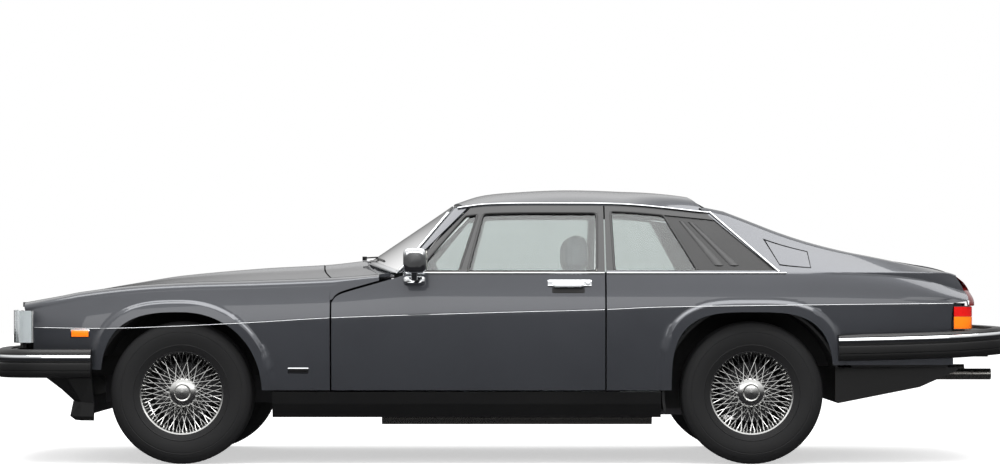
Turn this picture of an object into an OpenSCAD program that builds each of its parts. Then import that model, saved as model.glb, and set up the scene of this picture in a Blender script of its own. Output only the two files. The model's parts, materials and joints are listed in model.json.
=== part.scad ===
// Two-door grand touring coupe, long bonnet, flying buttresses, wire wheels.
// Millimetres. Front of the car at -X, left side at -Y, ground at Z = 0,
// origin on the ground under the middle of the car's length.

/* [Overall] */
// Distance between the front and rear axles
wheelbase = 2591; // [2350:1:3110]
// Front axle to the face of the front bumper
front_overhang = 935; // [860:1:1120]
// Rear axle to the face of the rear bumper
rear_overhang = 1238; // [1120:1:1485]
// Width over the doors, without mirrors
body_width = 1793; // [1700:1:2152]
// Height of the roof above the ground
roof_height = 1266; // [1200:1:1519]

/* [Wheels] */
// Outer diameter of a tyre
tyre_diameter = 650; // [540:1:664]
// Width of a tyre
tyre_width = 225; // [185:1:235]
// Diameter over the rim flanges
rim_diameter = 416; // [345:1:440]
// Distance between the middles of the front tyres
front_track = 1488; // [1440:1:1500]
// Distance between the middles of the rear tyres
rear_track = 1500; // [1440:1:1510]
// Distance from the tyre tread to the edge of the wheel arch
arch_gap = 42; // [36:1:60]
// Width of the raised lip around a wheel arch
lip_width = 40; // [20:1:48]
// Height of the lip above the panel
lip_height = 14; // [6:1:18]
// Distance from the tyre middle inboard to the kingpin
kingpin_inset = 74; // [70:1:82]
// Bore of the hubs
hub_bore = 40; // [32:1:48]

/* [Panels] */
// Thickness of wings, quarters, bonnet, boot lid and roof with their frames
panel_t = 24; // [20:1:29]
// Thickness of a door below the glass
door_t = 86; // [70:1:104]
// Thickness of the window frames
frame_t = 22; // [18:1:27]
// Visible width of a window frame
frame_w = 34; // [28:1:40]
// Thickness of the glass
glass_t = 5; // [4:0.5:6]
// Gap around panels that open
shut_gap = 8; // [7:0.5:9.5]
// Gap where fixed pieces meet
fit = 0.4; // [0.3:0.1:0.5]

/* [Cabin] */
// Height of the cabin floor above the ground
floor_z = 215; // [200:1:240]
// Thickness of the floor and bulkheads
floor_t = 30; // [25:1:36]
// Width of a front seat
seat_w = 500; // [420:1:540]
// Distance of a front seat's middle from the car's middle
seat_y = 365; // [340:1:372]
// Diameter of the steering wheel
steering_wheel_d = 390; // [340:1:420]

/* [Hidden] */
half_length = (front_overhang + wheelbase + rear_overhang) / 2;
front_axle = front_overhang - half_length;
rear_axle = front_axle + wheelbase;
axle_z = tyre_diameter / 2;
arch_r = tyre_diameter / 2 + arch_gap;

// The body lines below are drawn for this car size and stretched to the real one
drawn_front_axle = -1447;
drawn_rear_axle = 1144;
drawn_half_length = 2382;
drawn_width = 1793;
drawn_height = 1266;

function X(x) =
    x < drawn_front_axle
    ? front_axle + (x - drawn_front_axle) * front_overhang / (drawn_half_length + drawn_front_axle)
    : x < drawn_rear_axle
    ? front_axle + (x - drawn_front_axle) * wheelbase / (drawn_rear_axle - drawn_front_axle)
    : rear_axle + (x - drawn_rear_axle) * rear_overhang / (drawn_half_length - drawn_rear_axle);
function drawn_x(x) =
    x < front_axle
    ? drawn_front_axle + (x - front_axle) * (drawn_half_length + drawn_front_axle) / front_overhang
    : x < rear_axle
    ? drawn_front_axle + (x - front_axle) * (drawn_rear_axle - drawn_front_axle) / wheelbase
    : drawn_rear_axle + (x - rear_axle) * (drawn_half_length - drawn_rear_axle) / rear_overhang;
function Y(y) = y * body_width / drawn_width;
function Z(z) = z * roof_height / drawn_height;

// Smooth line through knots [x, value], level with the first and last knot outside them
function span(k, x, i = 0) = i >= len(k) - 2 || x < k[i + 1].x ? i : span(k, x, i + 1);
function slope(k, i) =
    let (a = max(i - 1, 0), b = min(i + 1, len(k) - 1))
    (k[b].y - k[a].y) / (k[b].x - k[a].x);
function line(k, x) =
    let (u = min(max(x, k[0].x), k[len(k) - 1].x), i = span(k, u))
    let (h = k[i + 1].x - k[i].x, t = (u - k[i].x) / h)
    (2 * t ^ 3 - 3 * t ^ 2 + 1) * k[i].y + (t ^ 3 - 2 * t ^ 2 + t) * h * slope(k, i)
    + (3 * t ^ 2 - 2 * t ^ 3) * k[i + 1].y + (t ^ 3 - t ^ 2) * h * slope(k, i + 1);
function mix(a, b, t) = a + (b - a) * t;
function clamp(v, lo = 0, hi = 1) = min(max(v, lo), hi);
function steps(a, b, n) = [for (i = [0:n]) mix(a, b, i / n)];

// Body lines: half width at the crease, and heights of crease, shoulder, roof and tail
plan_knots = [[-2200, 762], [-2080, 812], [-1800, 850], [-1447, 872], [-800, 888], [0, 896],
    [800, 896], [1300, 890], [1700, 874], [2000, 850], [2180, 824]];
crease_knots = [[-2170, 622], [-1767, 618], [-1187, 641], [-750, 666], [0, 690], [450, 702],
    [725, 714], [1400, 724], [2065, 731]];
crest_knots = [[-2176, 732], [-2011, 761], [-1912, 780], [-1676, 808], [-1422, 823],
    [-1132, 831], [-770, 845], [-471, 866], [-300, 872], [1300, 872], [1700, 862], [1900, 838],
    [2080, 780], [2140, 760]];
bonnet_knots = [[-2176, 734], [-1912, 792], [-1676, 834], [-1504, 861], [-1132, 894],
    [-815, 912], [-650, 930]];
roof_knots = [[-230, 1192], [-91, 1238], [91, 1257], [317, 1266], [589, 1258], [725, 1247],
    [900, 1222], [965, 1204]];
rail_knots = [[-200, 1168], [-60, 1186], [300, 1190], [600, 1184], [969, 1146]];
tail_knots = [[940, 1204], [985, 1186], [1049, 1155], [1167, 1101], [1275, 1058], [1412, 1012],
    [1560, 973], [1707, 943], [1884, 905], [2002, 880], [2079, 850], [2129, 800]];
tail_y_knots = [[940, 588], [1049, 612], [1275, 668], [1560, 722], [1800, 748], [2079, 748],
    [2129, 740]];
rail_y = Y(604);
function half(x) = Y(line(plan_knots, drawn_x(x)));
function crease(x) = Z(line(crease_knots, drawn_x(x)));
function crest(x) = Z(line(crest_knots, drawn_x(x)));
function rail(x) = Z(line(rail_knots, drawn_x(x)));
function tail_top(x) = Z(line(tail_knots, drawn_x(x)));
function tail_y(x) = Y(line(tail_y_knots, drawn_x(x)));
body_bottom = Z(338);
belt = Z(872);
sill_bottom = Z(214);

// Wheel arch: a rounded square of exponent n, squarer ahead of the front wheel than behind it
function arch_n(axle, x) = axle < 0 ? (x < axle ? 2.9 : 2.1) : 3.3;
function arch_reach(axle, x, z) =
    let (n = arch_n(axle, x), dx = abs(x - axle) / arch_r, dz = max(z - axle_z, 0) / arch_r)
    (dx ^ n + dz ^ n) ^ (1 / n);
function arch_z(axle, x) =
    let (n = arch_n(axle, x), dx = abs(x - axle) / arch_r)
    dx >= 1 ? axle_z : axle_z + arch_r * (1 - dx ^ n) ^ (1 / n);
function arch_x(axle, angle) =
    let (c = cos(angle), x = axle - arch_r * sign(c))
    axle - arch_r * sign(c) * abs(c) ^ (2 / arch_n(axle, x));
function lip(x, z) =
    let (axle = x < (front_axle + rear_axle) / 2 ? front_axle : rear_axle)
    let (d = (arch_reach(axle, x, z) - 1) * arch_r)
    lip_height * clamp(1 - (d - lip_width) / (lip_width / 2));

// Half width of the body side at a height: tucked under below the crease, leaning in above it
shoulder_in = Y(46);
sill_tuck = Y(52);
function side(x, z) =
    let (zc = crease(x), up = (z - zc) / (crest(x) - zc), down = (zc - z) / (zc - sill_bottom))
    half(x) + lip(x, z)
    - (z > zc ? shoulder_in * (0.45 * up + 0.55 * up ^ 2) : Y(8) * down + sill_tuck * down ^ 3);
// Half width of the glasshouse above the belt
function glasshouse(z) =
    let (t = (z - belt) / (Z(1180) - belt))
    mix(Y(846), rail_y, t) + Y(14) * t * (1 - t);

// Closed solid between an outer sheet and an inner sheet of points [column][row], over the
// cells that are kept. Seen from outside, columns run to the right and rows run up.
module sheet(outer, inner, keep = function(i, j) true) {
    nc = len(outer);
    nr = len(outer[0]);
    in = nc * nr;
    kept = [for (i = [0:nc - 2]) [for (j = [0:nr - 2]) keep(i, j)]];
    on = function(i, j) i >= 0 && j >= 0 && i < nc - 1 && j < nr - 1 && kept[i][j];
    quad = function(a, b, c, d) [[a, b, c], [a, c, d]];
    faces = [for (i = [0:nc - 2], j = [0:nr - 2]) if (on(i, j))
        let (a = i * nr + j, b = a + nr, c = b + 1, d = a + 1)
        each concat(
            quad(a, d, c, b),
            quad(in + a, in + b, in + c, in + d),
            on(i, j - 1) ? [] : quad(a, b, in + b, in + a),
            on(i + 1, j) ? [] : quad(b, c, in + c, in + b),
            on(i, j + 1) ? [] : quad(c, d, in + d, in + c),
            on(i - 1, j) ? [] : quad(d, a, in + a, in + d))];
    polyhedron(concat([for (c = outer) each c], [for (c = inner) each c]), faces);
}
// Solid through a list of rings, each with the same number of points, closed at both ends
module loft(rings) {
    n = len(rings[0]);
    m = len(rings);
    polyhedron([for (r = rings) each r], concat(
        [[for (j = [0:n - 1]) n - 1 - j]],
        [[for (j = [0:n - 1]) (m - 1) * n + j]],
        [for (i = [0:m - 2], j = [0:n - 1])
            let (a = i * n + j, b = i * n + (j + 1) % n)
            each [[a, b, b + n], [a, b + n, a + n]]]));
}
module both_sides() {
    children();
    mirror([0, 1, 0]) children();
}

// Panel edges along the car
door_front = X(-764);
door_rear = X(476);
post_base = X(-430);
cowl_x = X(-770);
window_rear = X(930);
diagonal_base = X(1265);
tail_corner = X(2060);
boot_front = X(1560);
deck_z = Z(934);
// Height of the top edge of the door ahead of its window
cut_knots = [[-764, 735], [-748, 758], [-720, 775], [-600, 811], [-471, 848], [-430, 862]];
function door_cut(x) = Z(line(cut_knots, drawn_x(x)));
// Lean of the upper columns: millimetres back for each millimetre up
lean_knots = [[-430, 0.985], [-300, 0.62], [-168, 0.283], [100, 0.1], [476, 0], [700, -0.3],
    [921, -0.6], [1265, -1.153], [1290, -0.55], [1420, -0.12], [1600, 0]];
function lean(x) = line(lean_knots, drawn_x(x));
function roof_side(x) = rail(x) - shut_gap;
// Outer half width above the belt
function upper_side(x, z) =
    x < X(940) ? glasshouse(z)
    : let (t = clamp((z - belt) / max(tail_top(x) - belt, 1)))
      mix(half(x) - shoulder_in, tail_y(x), t) + Y(10) * t * (1 - t);
function upper_point(x, z) =
    let (u = x + lean(x) * (z - belt)) [u, -upper_side(u, z), z];
// Top of a leaning column under a roof or tail line
function column_top(x, top, z = belt, n = 7) =
    n == 0 ? z : column_top(x, top, top(x + lean(x) * (z - belt)), n - 1);

function shoulder_h(x, low) = min(Z(35), 0.45 * (crest(x) - low));
// A side section over the shoulder of a wing: side rows, then the rounded crest
function wing_rows(x, low) =
    let (top = crest(x), h = shoulder_h(x, low), s = top - h)
    let (mid = min(max(crease(x), low + lip_width), mix(low, s, 0.75)))
    let (y = side(x, s))
    concat(
        [for (t = [0, 0.3, 0.65, 1]) let (z = mix(low, mid, t)) [x, -side(x, z), z]],
        [for (t = [0.5, 1]) let (z = mix(mid, s, t)) [x, -side(x, z), z]],
        [[x, -y + Y(9), s + 0.64 * h], [x, -y + Y(38), top], [x, -y + Y(70), top + 3]]);
function wing_inner(r) = [for (j = [0:len(r) - 1])
    r[j] + panel_t * (j < 5 ? [0, 1, 0] : j == 5 ? [0, 1, -0.15] : j == 6 ? [0, 0.85, -0.55]
        : j == 7 ? [0, 0.2, -1] : [0, 0, -1])];
// Inner edge of a wing's top
function wing_edge(x) = side(x, crest(x) - shoulder_h(x, wing_low(x))) - Y(70);
function bonnet_y(x) = wing_edge(x) - shut_gap;
nose_knots = [[430, -2132], [634, -2134], [702, -2172], [760, -2176]];
function nose_x(z) = X(line(nose_knots, z / Z(1)));

arch_angles = [0, 8, 20, 34, 48, 62, 76, 90, 104, 118, 132, 146, 160, 172, 180];
function wing_low(x) =
    let (edge = x < front_axle ? Z(430) : body_bottom)
    x > door_front - shut_gap ? door_cut(x) + shut_gap * 1.3
    : abs(x - front_axle) < arch_r ? max(edge, arch_z(front_axle, x)) : edge;
wing_x = concat(
    [X(-2176), X(-2080), X(-1985), X(-1900)],
    [for (a = arch_angles) arch_x(front_axle, a)],
    [front_axle + arch_r + lip_width, front_axle + arch_r + lip_width * 1.5],
    steps(front_axle + arch_r + lip_width * 1.5, door_front - shut_gap, 4),
    [door_front - shut_gap + 1.5],
    [for (x = [-735, -700, -650, -600, -550]) X(x)]);

module front_wing() {
    xs = [for (i = [0:len(wing_x) - 1]) if (i == 0 || wing_x[i] > wing_x[i - 1] + 1) wing_x[i]];
    rows = [for (x = xs) wing_rows(x, wing_low(x))];
    outer = [for (i = [0:len(xs) - 1])
        i > 0 ? rows[i] : [for (p = rows[0]) [nose_x(p.z), p.y, p.z]]];
    color("dimgray") sheet(outer, [for (r = outer) wing_inner(r)]);
}
module front_wings() {
    both_sides() front_wing();
}

// Door: a thick shell up to the belt, with the window frame standing on it
door_x = concat(
    [for (x = [-764, -748, -720, -660, -600, -540, -480]) X(x)],
    [post_base, post_base + frame_w * 1.4],
    [X(-290), X(-168) - frame_w / 2, X(-168) + frame_w / 2],
    steps(X(-60), X(350), 4),
    [door_rear - frame_w, door_rear]);
door_post_i = 7;
door_side_rows = [0, 0.12, 0.35, 0.7, 1];
function door_outer(x) =
    let (top = x < post_base ? door_cut(x) : belt, mid = min(crease(x), mix(body_bottom, top, 0.8)))
    let (roof = column_top(x, function(u) roof_side(u)))
    concat(
        [for (t = door_side_rows) let (z = mix(body_bottom, mid, t)) [x, -side(x, z), z]],
        [for (t = [0.35, 0.7, 1]) let (z = mix(mid, top, t)) [x, -side(x, min(z, belt)), z]],
        [for (z = [belt + 2, mix(belt, roof, 0.3), mix(belt, roof, 0.6), roof - frame_w, roof])
            upper_point(x, z)]);
module door_left() {
    outer = [for (x = door_x) door_outer(x)];
    last = len(door_x) - 1;
    belt_j = 7;
    inner = [for (i = [0:last]) [for (j = [0:12])
        outer[i][j] + (j <= belt_j ? [i == last ? -shut_gap * 1.5 : 0, door_t, 0] : [0, frame_t, 0])]];
    color("dimgray") sheet(outer, inner, function(i, j)
        j <= belt_j - 1 || (i >= door_post_i
            && (j == belt_j || j == 11 || i == door_post_i || i == 10 || i == last - 1)));
}
module door_right() {
    mirror([0, 1, 0]) door_left();
}

// Glass between two upper columns, standing in the middle of its frame
function pane(x0, x1, z0, top, n, depth) =
    [for (x = steps(x0, x1, n))
        let (z1 = column_top(x, top))
        [for (t = [0, 0.33, 0.67, 1]) upper_point(x, mix(z0, z1, t)) + [0, depth, 0]]];
module pane_sheet(x0, x1, z0, top, n) {
    depth = (frame_t - glass_t) / 2;
    sheet(pane(x0, x1, z0, top, n, depth), pane(x0, x1, z0, top, n, depth + glass_t));
}
module door_glass_left() {
    top = function(x) roof_side(x) - frame_w - fit;
    color("slategray") {
        pane_sheet(post_base + frame_w * 1.4 + fit, X(-168) - frame_w / 2 - fit,
            belt + 2 + fit, top, 2);
        pane_sheet(X(-168) + frame_w / 2 + fit, door_rear - frame_w - fit, belt + 2 + fit, top, 6);
    }
}
module door_glass_right() {
    mirror([0, 1, 0]) door_glass_left();
}

// Rear quarter with its buttress, the window opening and the opening of the filler flap
quarter_front = door_rear + shut_gap;
flap_x0 = X(1290);
flap_x1 = X(1418);
flap_rise = [0.14, 0.68];
quarter_columns = concat(
    [quarter_front, quarter_front + frame_w, X(600), X(690)],
    [for (a = [0, 8, 20, 34, 48, 62, 76, 88]) arch_x(rear_axle, a)],
    [X(1210), diagonal_base, flap_x0, (flap_x0 + flap_x1) / 2, flap_x1],
    [arch_x(rear_axle, 160), arch_x(rear_axle, 172), rear_axle + arch_r + lip_width],
    [for (x = [1640, 1740, 1850, 1960, 2060]) X(x)]);
function quarter_low(x) =
    let (edge = x < rear_axle ? body_bottom : Z(452))
    abs(x - rear_axle) < arch_r ? max(edge, arch_z(rear_axle, x)) : edge;
function gutter(x) = rail(x) - fit;
function quarter_top(x) = x <= diagonal_base
    ? column_top(x, function(u) gutter(u))
    : column_top(x, function(u) tail_top(u));
quarter_t = 58;
function quarter_outer(x) =
    let (low = quarter_low(x), b = min(belt, crest(x)), top = quarter_top(x))
    let (mid = min(max(crease(x), low + lip_width), mix(low, b, 0.8)))
    let (rise = top - b)
    concat(
        [for (t = [0, 0.3, 0.65, 1]) let (z = mix(low, mid, t)) [x, -side(x, z), z]],
        [for (t = [0.5, 1]) let (z = mix(mid, b, t)) [x, -side(x, z), z]],
        [for (s = [flap_rise[0], mix(flap_rise[0], flap_rise[1], 0.5), flap_rise[1]])
            upper_point(x, b + s * rise)],
        [upper_point(x, top - (x <= diagonal_base ? frame_w : min(14, rise / 8)))],
        [upper_point(x, top) + [0, x <= diagonal_base ? 0 : 14, 0]]);
tail_edge_knots = [[452, 2060], [732, 2060], [742, 2124], [800, 2108], [850, 2078]];
function tail_edge(z) = X(line(tail_edge_knots, z / Z(1)));
module rear_quarter(flap) {
    last = len(quarter_columns) - 1;
    outer = [for (i = [0:last])
        let (r = quarter_outer(quarter_columns[i]))
        i < last ? r : [for (p = r) [tail_edge(p.z), p.y, p.z]]];
    inner = [for (r = outer) [for (j = [0:10])
        r[j] + [0, j < 4 ? panel_t : j < 6 ? 38 : quarter_t - (j == 10 ? 14 : 0), 0]]];
    diagonal_i = 13;
    color("dimgray") sheet(outer, inner, function(i, j)
        j < 5 || i == 0 || j == 9
        || i >= diagonal_i && !(flap && (i == 14 || i == 15) && (j == 6 || j == 7)));
}
module rear_quarters() {
    rear_quarter(flap = true);
    mirror([0, 1, 0]) rear_quarter(flap = false);
    fuel_filler();
    // Rubber stops the doors close against
    color("black") both_sides() translate([door_rear - 0.8, -side(door_rear, Z(580)) + 8, Z(560)])
        cube([shut_gap + 3, 10, 40]);
}

// Straight box between two corners
module box(x0, x1, y0, y1, z0, z1) {
    translate([x0, y0, z0]) cube([x1 - x0, y1 - y0, z1 - z0]);
}

// Roof, scuttle, bonnet and boot lid: columns along the car, rows from left to right
roof_rows = [-1, -0.95, -0.85, -0.65, -0.35, 0, 0.35, 0.65, 0.85, 0.95, 1];
header_x = X(-222);
function roof_front(t) = header_x + X(-172) * t ^ 2 - header_x * t ^ 2;
function roof_rear(t) = mix(X(862), X(946), t ^ 8) - fit;
function roof_point(x, t) =
    let (top = Z(line(roof_knots, drawn_x(x))), edge = rail(x) + 6)
    [x, t * (rail_y - 2), top - (top - edge) * abs(t) ^ 3.4];
module roof() {
    depth = [0.25, 0.55, 1, 1, 1, 1, 1, 1, 1, 0.55, 0.25];
    outer = [for (s = steps(0, 1, 11))
        [for (t = roof_rows) roof_point(mix(roof_front(t), roof_rear(t), s), t)]];
    inner = [for (c = outer) [for (j = [0:10]) c[j] - [0, 0, panel_t * depth[j]]]];
    color("dimgray") sheet(outer, inner);
    pillars();
}

bonnet_shape = [[0, 1], [0.24, 0.97], [0.36, 0.74], [0.42, 0.64], [0.7, 0.34], [1, 0]];
function bonnet_line(x) = Z(line(bonnet_knots, drawn_x(x)));
function bonnet_z(x, t) =
    let (edge = crest(x) + 4) edge + (bonnet_line(x) - edge) * line(bonnet_shape, abs(t));
function nose_bow(t) = X(-2176) - Y(88) * (1 - t ^ 2);
function bonnet_rear(t) = X(-838) + Y(62) * t ^ 2;
bonnet_rows = [-1, -0.86, -0.7, -0.55, -0.42, -0.34, -0.2, 0, 0.2, 0.34, 0.42, 0.55, 0.7, 0.86, 1];
module bonnet() {
    outer = [for (s = steps(0, 1, 12)) [for (t = bonnet_rows)
        let (x = mix(nose_bow(t), bonnet_rear(t), s)) [x, t * bonnet_y(x), bonnet_z(x, t)]]];
    inner = [for (c = outer) [for (p = c) p - [0, 0, panel_t]]];
    color("dimgray") sheet(outer, inner);
}

// Windscreen: edges lie on the pillars, the middle bows forward
function pillar_front(z) = mix(X(-463), X(-232), (z - Z(866)) / Z(284));
screen_edge_z = [Z(872), Z(1158)];
screen_mid = [[X(-622), Z(926)], [X(-226), Z(1192)]];
function screen_point(t, v) =
    let (z = mix(screen_edge_z[0], screen_edge_z[1], v), ex = pillar_front(z) - glass_t * 1.24 - fit * 2)
    let (mx = mix(screen_mid[0].x, screen_mid[1].x, v), mz = mix(screen_mid[0].y, screen_mid[1].y, v))
    let (y = glasshouse(z) - 14)
    [mix(mx, ex, t ^ 2), y * t * (1 + 0.02 * (1 - t ^ 2)), mix(mz, z, t ^ 2)];
module front_screen() {
    outer = [for (v = steps(0, 1, 5)) [for (t = steps(-1, 1, 12)) screen_point(t, v)]];
    inner = [for (c = outer) [for (p = c) p + glass_t * [0.55, 0, -0.83]]];
    color("lightsteelblue") sheet(outer, inner);
}
// Pillars each side of the windscreen
module pillars() {
    foot = Z(872);
    color("silver") both_sides() loft([for (z = steps(foot, rail(X(-172)) - fit, 5))
        let (f = pillar_front(z), r = post_base + lean(post_base) * (z - belt) - shut_gap * 1.5)
        let (y = -glasshouse(z), d = z == foot ? Y(104) : 46)
        [[f, y + 12, z], [f, y + d, z], [r, y + d, z], [r, y, z]]]);
}

function scuttle_front(t) = bonnet_rear(t) + shut_gap;
function scuttle_edge(x) = wing_edge(x) - 1.5;
function scuttle_rear(t) = screen_point(t, 0).x - 6;
module scuttle() {
    outer = [for (s = steps(0, 1, 4)) [for (t = steps(-1, 1, 14))
        let (x = mix(scuttle_front(t), min(scuttle_rear(t), X(-502)), s))
        [x, t * scuttle_edge(x), bonnet_z(x, t) - fit]]];
    inner = [for (c = outer) [for (j = [0:14])
        c[j] - [0, 0, panel_t * (j < 2 || j > 12 ? 0.5 : 1)]]];
    color("dimgray") sheet(outer, inner);
}

// Rear window between the buttresses, the deck under it, and the boot lid
window_foot = [X(1330), Z(952)];
function inner_side(x, z) = upper_side(x, z) - quarter_t - fit;
function rear_window_point(t, v) =
    let (r = t * (inner_side(X(864), Z(1190)) - 1) / (rail_y - 2), tx = roof_rear(r) + 1 + 10 * t ^ 8)
    let (x = mix(window_foot.x, tx, v), z = mix(window_foot.y, roof_point(tx, r).z - 4, v))
    [x - Y(18) * (1 - t ^ 2) * (1 - v), t * (inner_side(x, z) - 1), z + 40 * (1 - t ^ 2) * v * (1 - v)];
module rear_screen() {
    outer = [for (v = steps(1, 0, 5)) [for (t = steps(-1, 1, 8)) rear_window_point(t, v)]];
    inner = [for (c = outer) [for (p = c) p - [0, 0, glass_t * 1.14]]];
    color("slategray") sheet(outer, inner);
}
boot_knots = [[1330, 950], [1560, 958], [1707, 946], [1903, 916], [2002, 893], [2066, 866],
    [2104, 832], [2124, 790], [2138, 746]];
function boot_z(x) = Z(line(boot_knots, drawn_x(x)));
module rear_deck() {
    outer = [for (s = steps(0, 1, 3)) [for (t = steps(-1, 1, 8))
        let (x = mix(rear_window_point(t, 0).x + 0.6, boot_front - shut_gap, s))
        [x, t * (inner_side(x, boot_z(x)) - 1), boot_z(x) - Y(6) * t ^ 2]]];
    inner = [for (c = outer) [for (p = c) p - [0, 0, panel_t]]];
    color("dimgray") sheet(outer, inner);
}
boot_x = [for (x = [1560, 1640, 1720, 1800, 1880, 1950, 2010, 2060, 2095, 2118, 2132, 2140]) X(x)];
boot_in = [for (i = [0:11]) panel_t * (i < 7 ? [0, 0, -1] : i == 7 ? [-0.35, 0, -0.9]
    : i == 8 ? [-0.7, 0, -0.7] : i == 9 ? [-0.9, 0, -0.4] : [-1, 0, -0.12])];
module boot_lid() {
    outer = [for (i = [0:11]) [for (t = steps(-1, 1, 10))
        let (x = boot_x[i], y = inner_side(x, max(boot_z(x), Z(905))) - shut_gap - 12 * clamp(1 - i / 3))
        [x, t * y, boot_z(x) - Y(8) * t ^ 2 * clamp((X(2100) - x) / X(200))]]];
    inner = [for (i = [0:11]) [for (p = outer[i]) p + boot_in[i]]];
    color("dimgray") sheet(outer, inner);
}

// Black panel behind the quarter window, the window itself, and the filler flap
module quarter_panes() {
    top = function(x) gutter(x) - frame_w - fit;
    color("slategray") both_sides() pane_sheet(quarter_front + frame_w + fit, X(905),
        quarter_floor + fit, top, 5);
}
quarter_floor = belt;
module quarter_vent_panel() {
    top = function(x) gutter(x) - frame_w - fit;
    depth = 6;
    x0 = X(905) + fit;
    x1 = diagonal_base - fit * 2;
    color("black") both_sides()
        sheet(pane(x0, x1, quarter_floor + fit, top, 4, depth),
            pane(x0, x1, quarter_floor + fit, top, 4, depth + 12));
}
// A point of the left buttress, given by its foot column and its share of the rise
function buttress_point(x, s) =
    let (b = min(belt, crest(x))) upper_point(x, mix(b, quarter_top(x), s));
module fuel_flap() {
    edge = shut_gap * 0.85;
    xs = steps(flap_x0 + edge, flap_x1 - edge, 4);
    outer = [for (x = xs) let (m = edge / (quarter_top(x) - belt))
        [for (s = steps(flap_rise[0] + m, flap_rise[1] - m, 3)) buttress_point(x, s)]];
    color("dimgray") sheet(outer, [for (c = outer) [for (p = c) p + [0, flap_t, 0]]]);
}
// Wall that closes the filler pocket, with the filler cap on it
module fuel_filler() {
    behind = quarter_t - 10;
    xs = steps(flap_x0 + fit, flap_x1 - fit, 2);
    mid_rise = mix(flap_rise[0], flap_rise[1], 0.5);
    rises = [flap_rise[0] + 0.006, mid_rise, flap_rise[1] - 0.006];
    wall = function(d) [for (x = xs) [for (s = rises) buttress_point(x, s) + [0, d, 0]]];
    color("black") {
        sheet(wall(behind), wall(behind + 8));
        translate(buttress_point(xs[1], mid_rise) + [0, behind + 2, 0]) rotate([90, 0, 0])
            cylinder(d = 40, h = 16, $fn = 48);
        // Rubber stop the flap rests on
        translate(buttress_point(flap_x1 - 24, mid_rise) + [0, flap_t + stop_r + fit, 0])
            rotate([-90, 0, 0]) cylinder(r = stop_r, h = behind - flap_t - stop_r, $fn = 24);
    }
}
flap_t = 8;
stop_r = 4;
module fixed_windows() {
    front_screen();
    rear_screen();
    quarter_panes();
}

// Structure: floor, sills, bulkheads, front rails and wheel houses
cabin_y = Y(745);
bulkhead_x = X(-700);
seat_back_x = X(1010);
house_r = arch_r + 30;
house_t = 12;
front_house_y = Y(452);
rear_house_y = Y(548);
boot_floor_z = Z(440);
sill_top = body_bottom - shut_gap;
post_y = side(door_front - shut_gap - 60, body_bottom) - panel_t - fit;
wing_shelf_z = Z(490);
tunnel_y = seat_y - seat_w / 2 - 10;
tunnel_z = Z(350);

module wheel_tube(axle, r, y0, y1) {
    translate([axle, y0, axle_z]) rotate([-90, 0, 0]) cylinder(r = r, h = y1 - y0, $fn = 96);
}
module floor_pan() {
    narrow_x = rear_axle - house_r - house_t - 2;
    x0 = bulkhead_x + floor_t + fit;
    x1 = X(604);
    color("dimgray") {
        difference() {
            union() {
                box(bulkhead_x, narrow_x, -cabin_y, cabin_y, floor_z, floor_z + floor_t);
                box(narrow_x, seat_back_x, -rear_house_y, rear_house_y, floor_z, floor_z + floor_t);
                box(x0, x1, -tunnel_y, tunnel_y, floor_z, tunnel_z);
            }
            box(bulkhead_x - 1, x1 - floor_t / 2, -tunnel_y + floor_t / 2, tunnel_y - floor_t / 2,
                floor_z - 1, tunnel_z - floor_t / 2);
        }
    }
}
// Sockets for the jack, in the underside of the sills
jack_x = [X(-640), X(540)];
jack_y = cabin_y + 42;
jack_r = 12;
jack_depth = 40;
module sills() {
    x0 = front_axle + house_r + house_t + 4;
    x1 = rear_axle - house_r - house_t - 4;
    y = side(door_front, body_bottom);
    color("black") both_sides() difference() {
        translate([x0, 0, 0]) rotate([90, 0, 90])
            linear_extrude(x1 - x0) polygon([[-y, sill_top], [-y + 6, Z(276)], [-y + 34, sill_bottom],
                [-cabin_y, sill_bottom], [-cabin_y, sill_top]]);
        for (x = jack_x) translate([x, -jack_y, sill_bottom - 1])
            cylinder(r = jack_r, h = jack_depth + 1, $fn = 48);
    }
}
// Bulkhead ahead of the cabin, with the posts that carry the doors and the windscreen
module front_bulkhead() {
    post_front = door_front - shut_gap - 60;
    foot_z = Z(836);
    color("dimgray") {
        box(bulkhead_x, bulkhead_x + floor_t, -Y(700), Y(700), floor_z + floor_t, foot_z - 14);
        both_sides() {
            box(post_front, door_front - shut_gap, -post_y, -Y(690), sill_top, Z(770));
            box(door_front - shut_gap, bulkhead_x + floor_t, -Y(736), -Y(690), Z(345), foot_z - 14);
            box(bulkhead_x, X(-444), -Y(750), -Y(700), foot_z - 14, foot_z - 4);
            box(X(-484), X(-444), -Y(750), -Y(700), foot_z - 4, Z(872) - fit);
        }
    }
}
module rear_bulkhead() {
    post_y1 = side(quarter_front, body_bottom) - panel_t - fit;
    shelf_z = Z(890);
    shelf_y = inner_side(X(1326), shelf_z + 14) - Y(16);
    color("dimgray") {
        difference() {
            union() {
                box(seat_back_x, seat_back_x + floor_t, -Y(690), Y(690), floor_z, shelf_z);
                box(seat_back_x, X(1326), -shelf_y, shelf_y, shelf_z, shelf_z + 14);
            }
            both_sides()
                wheel_tube(rear_axle, house_r + house_t + fit, -body_width, -rear_house_y - fit);
        }
        both_sides() box(quarter_front + 1, quarter_front + 60, -post_y1, -Y(690), sill_top, Z(700));
    }
}
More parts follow.
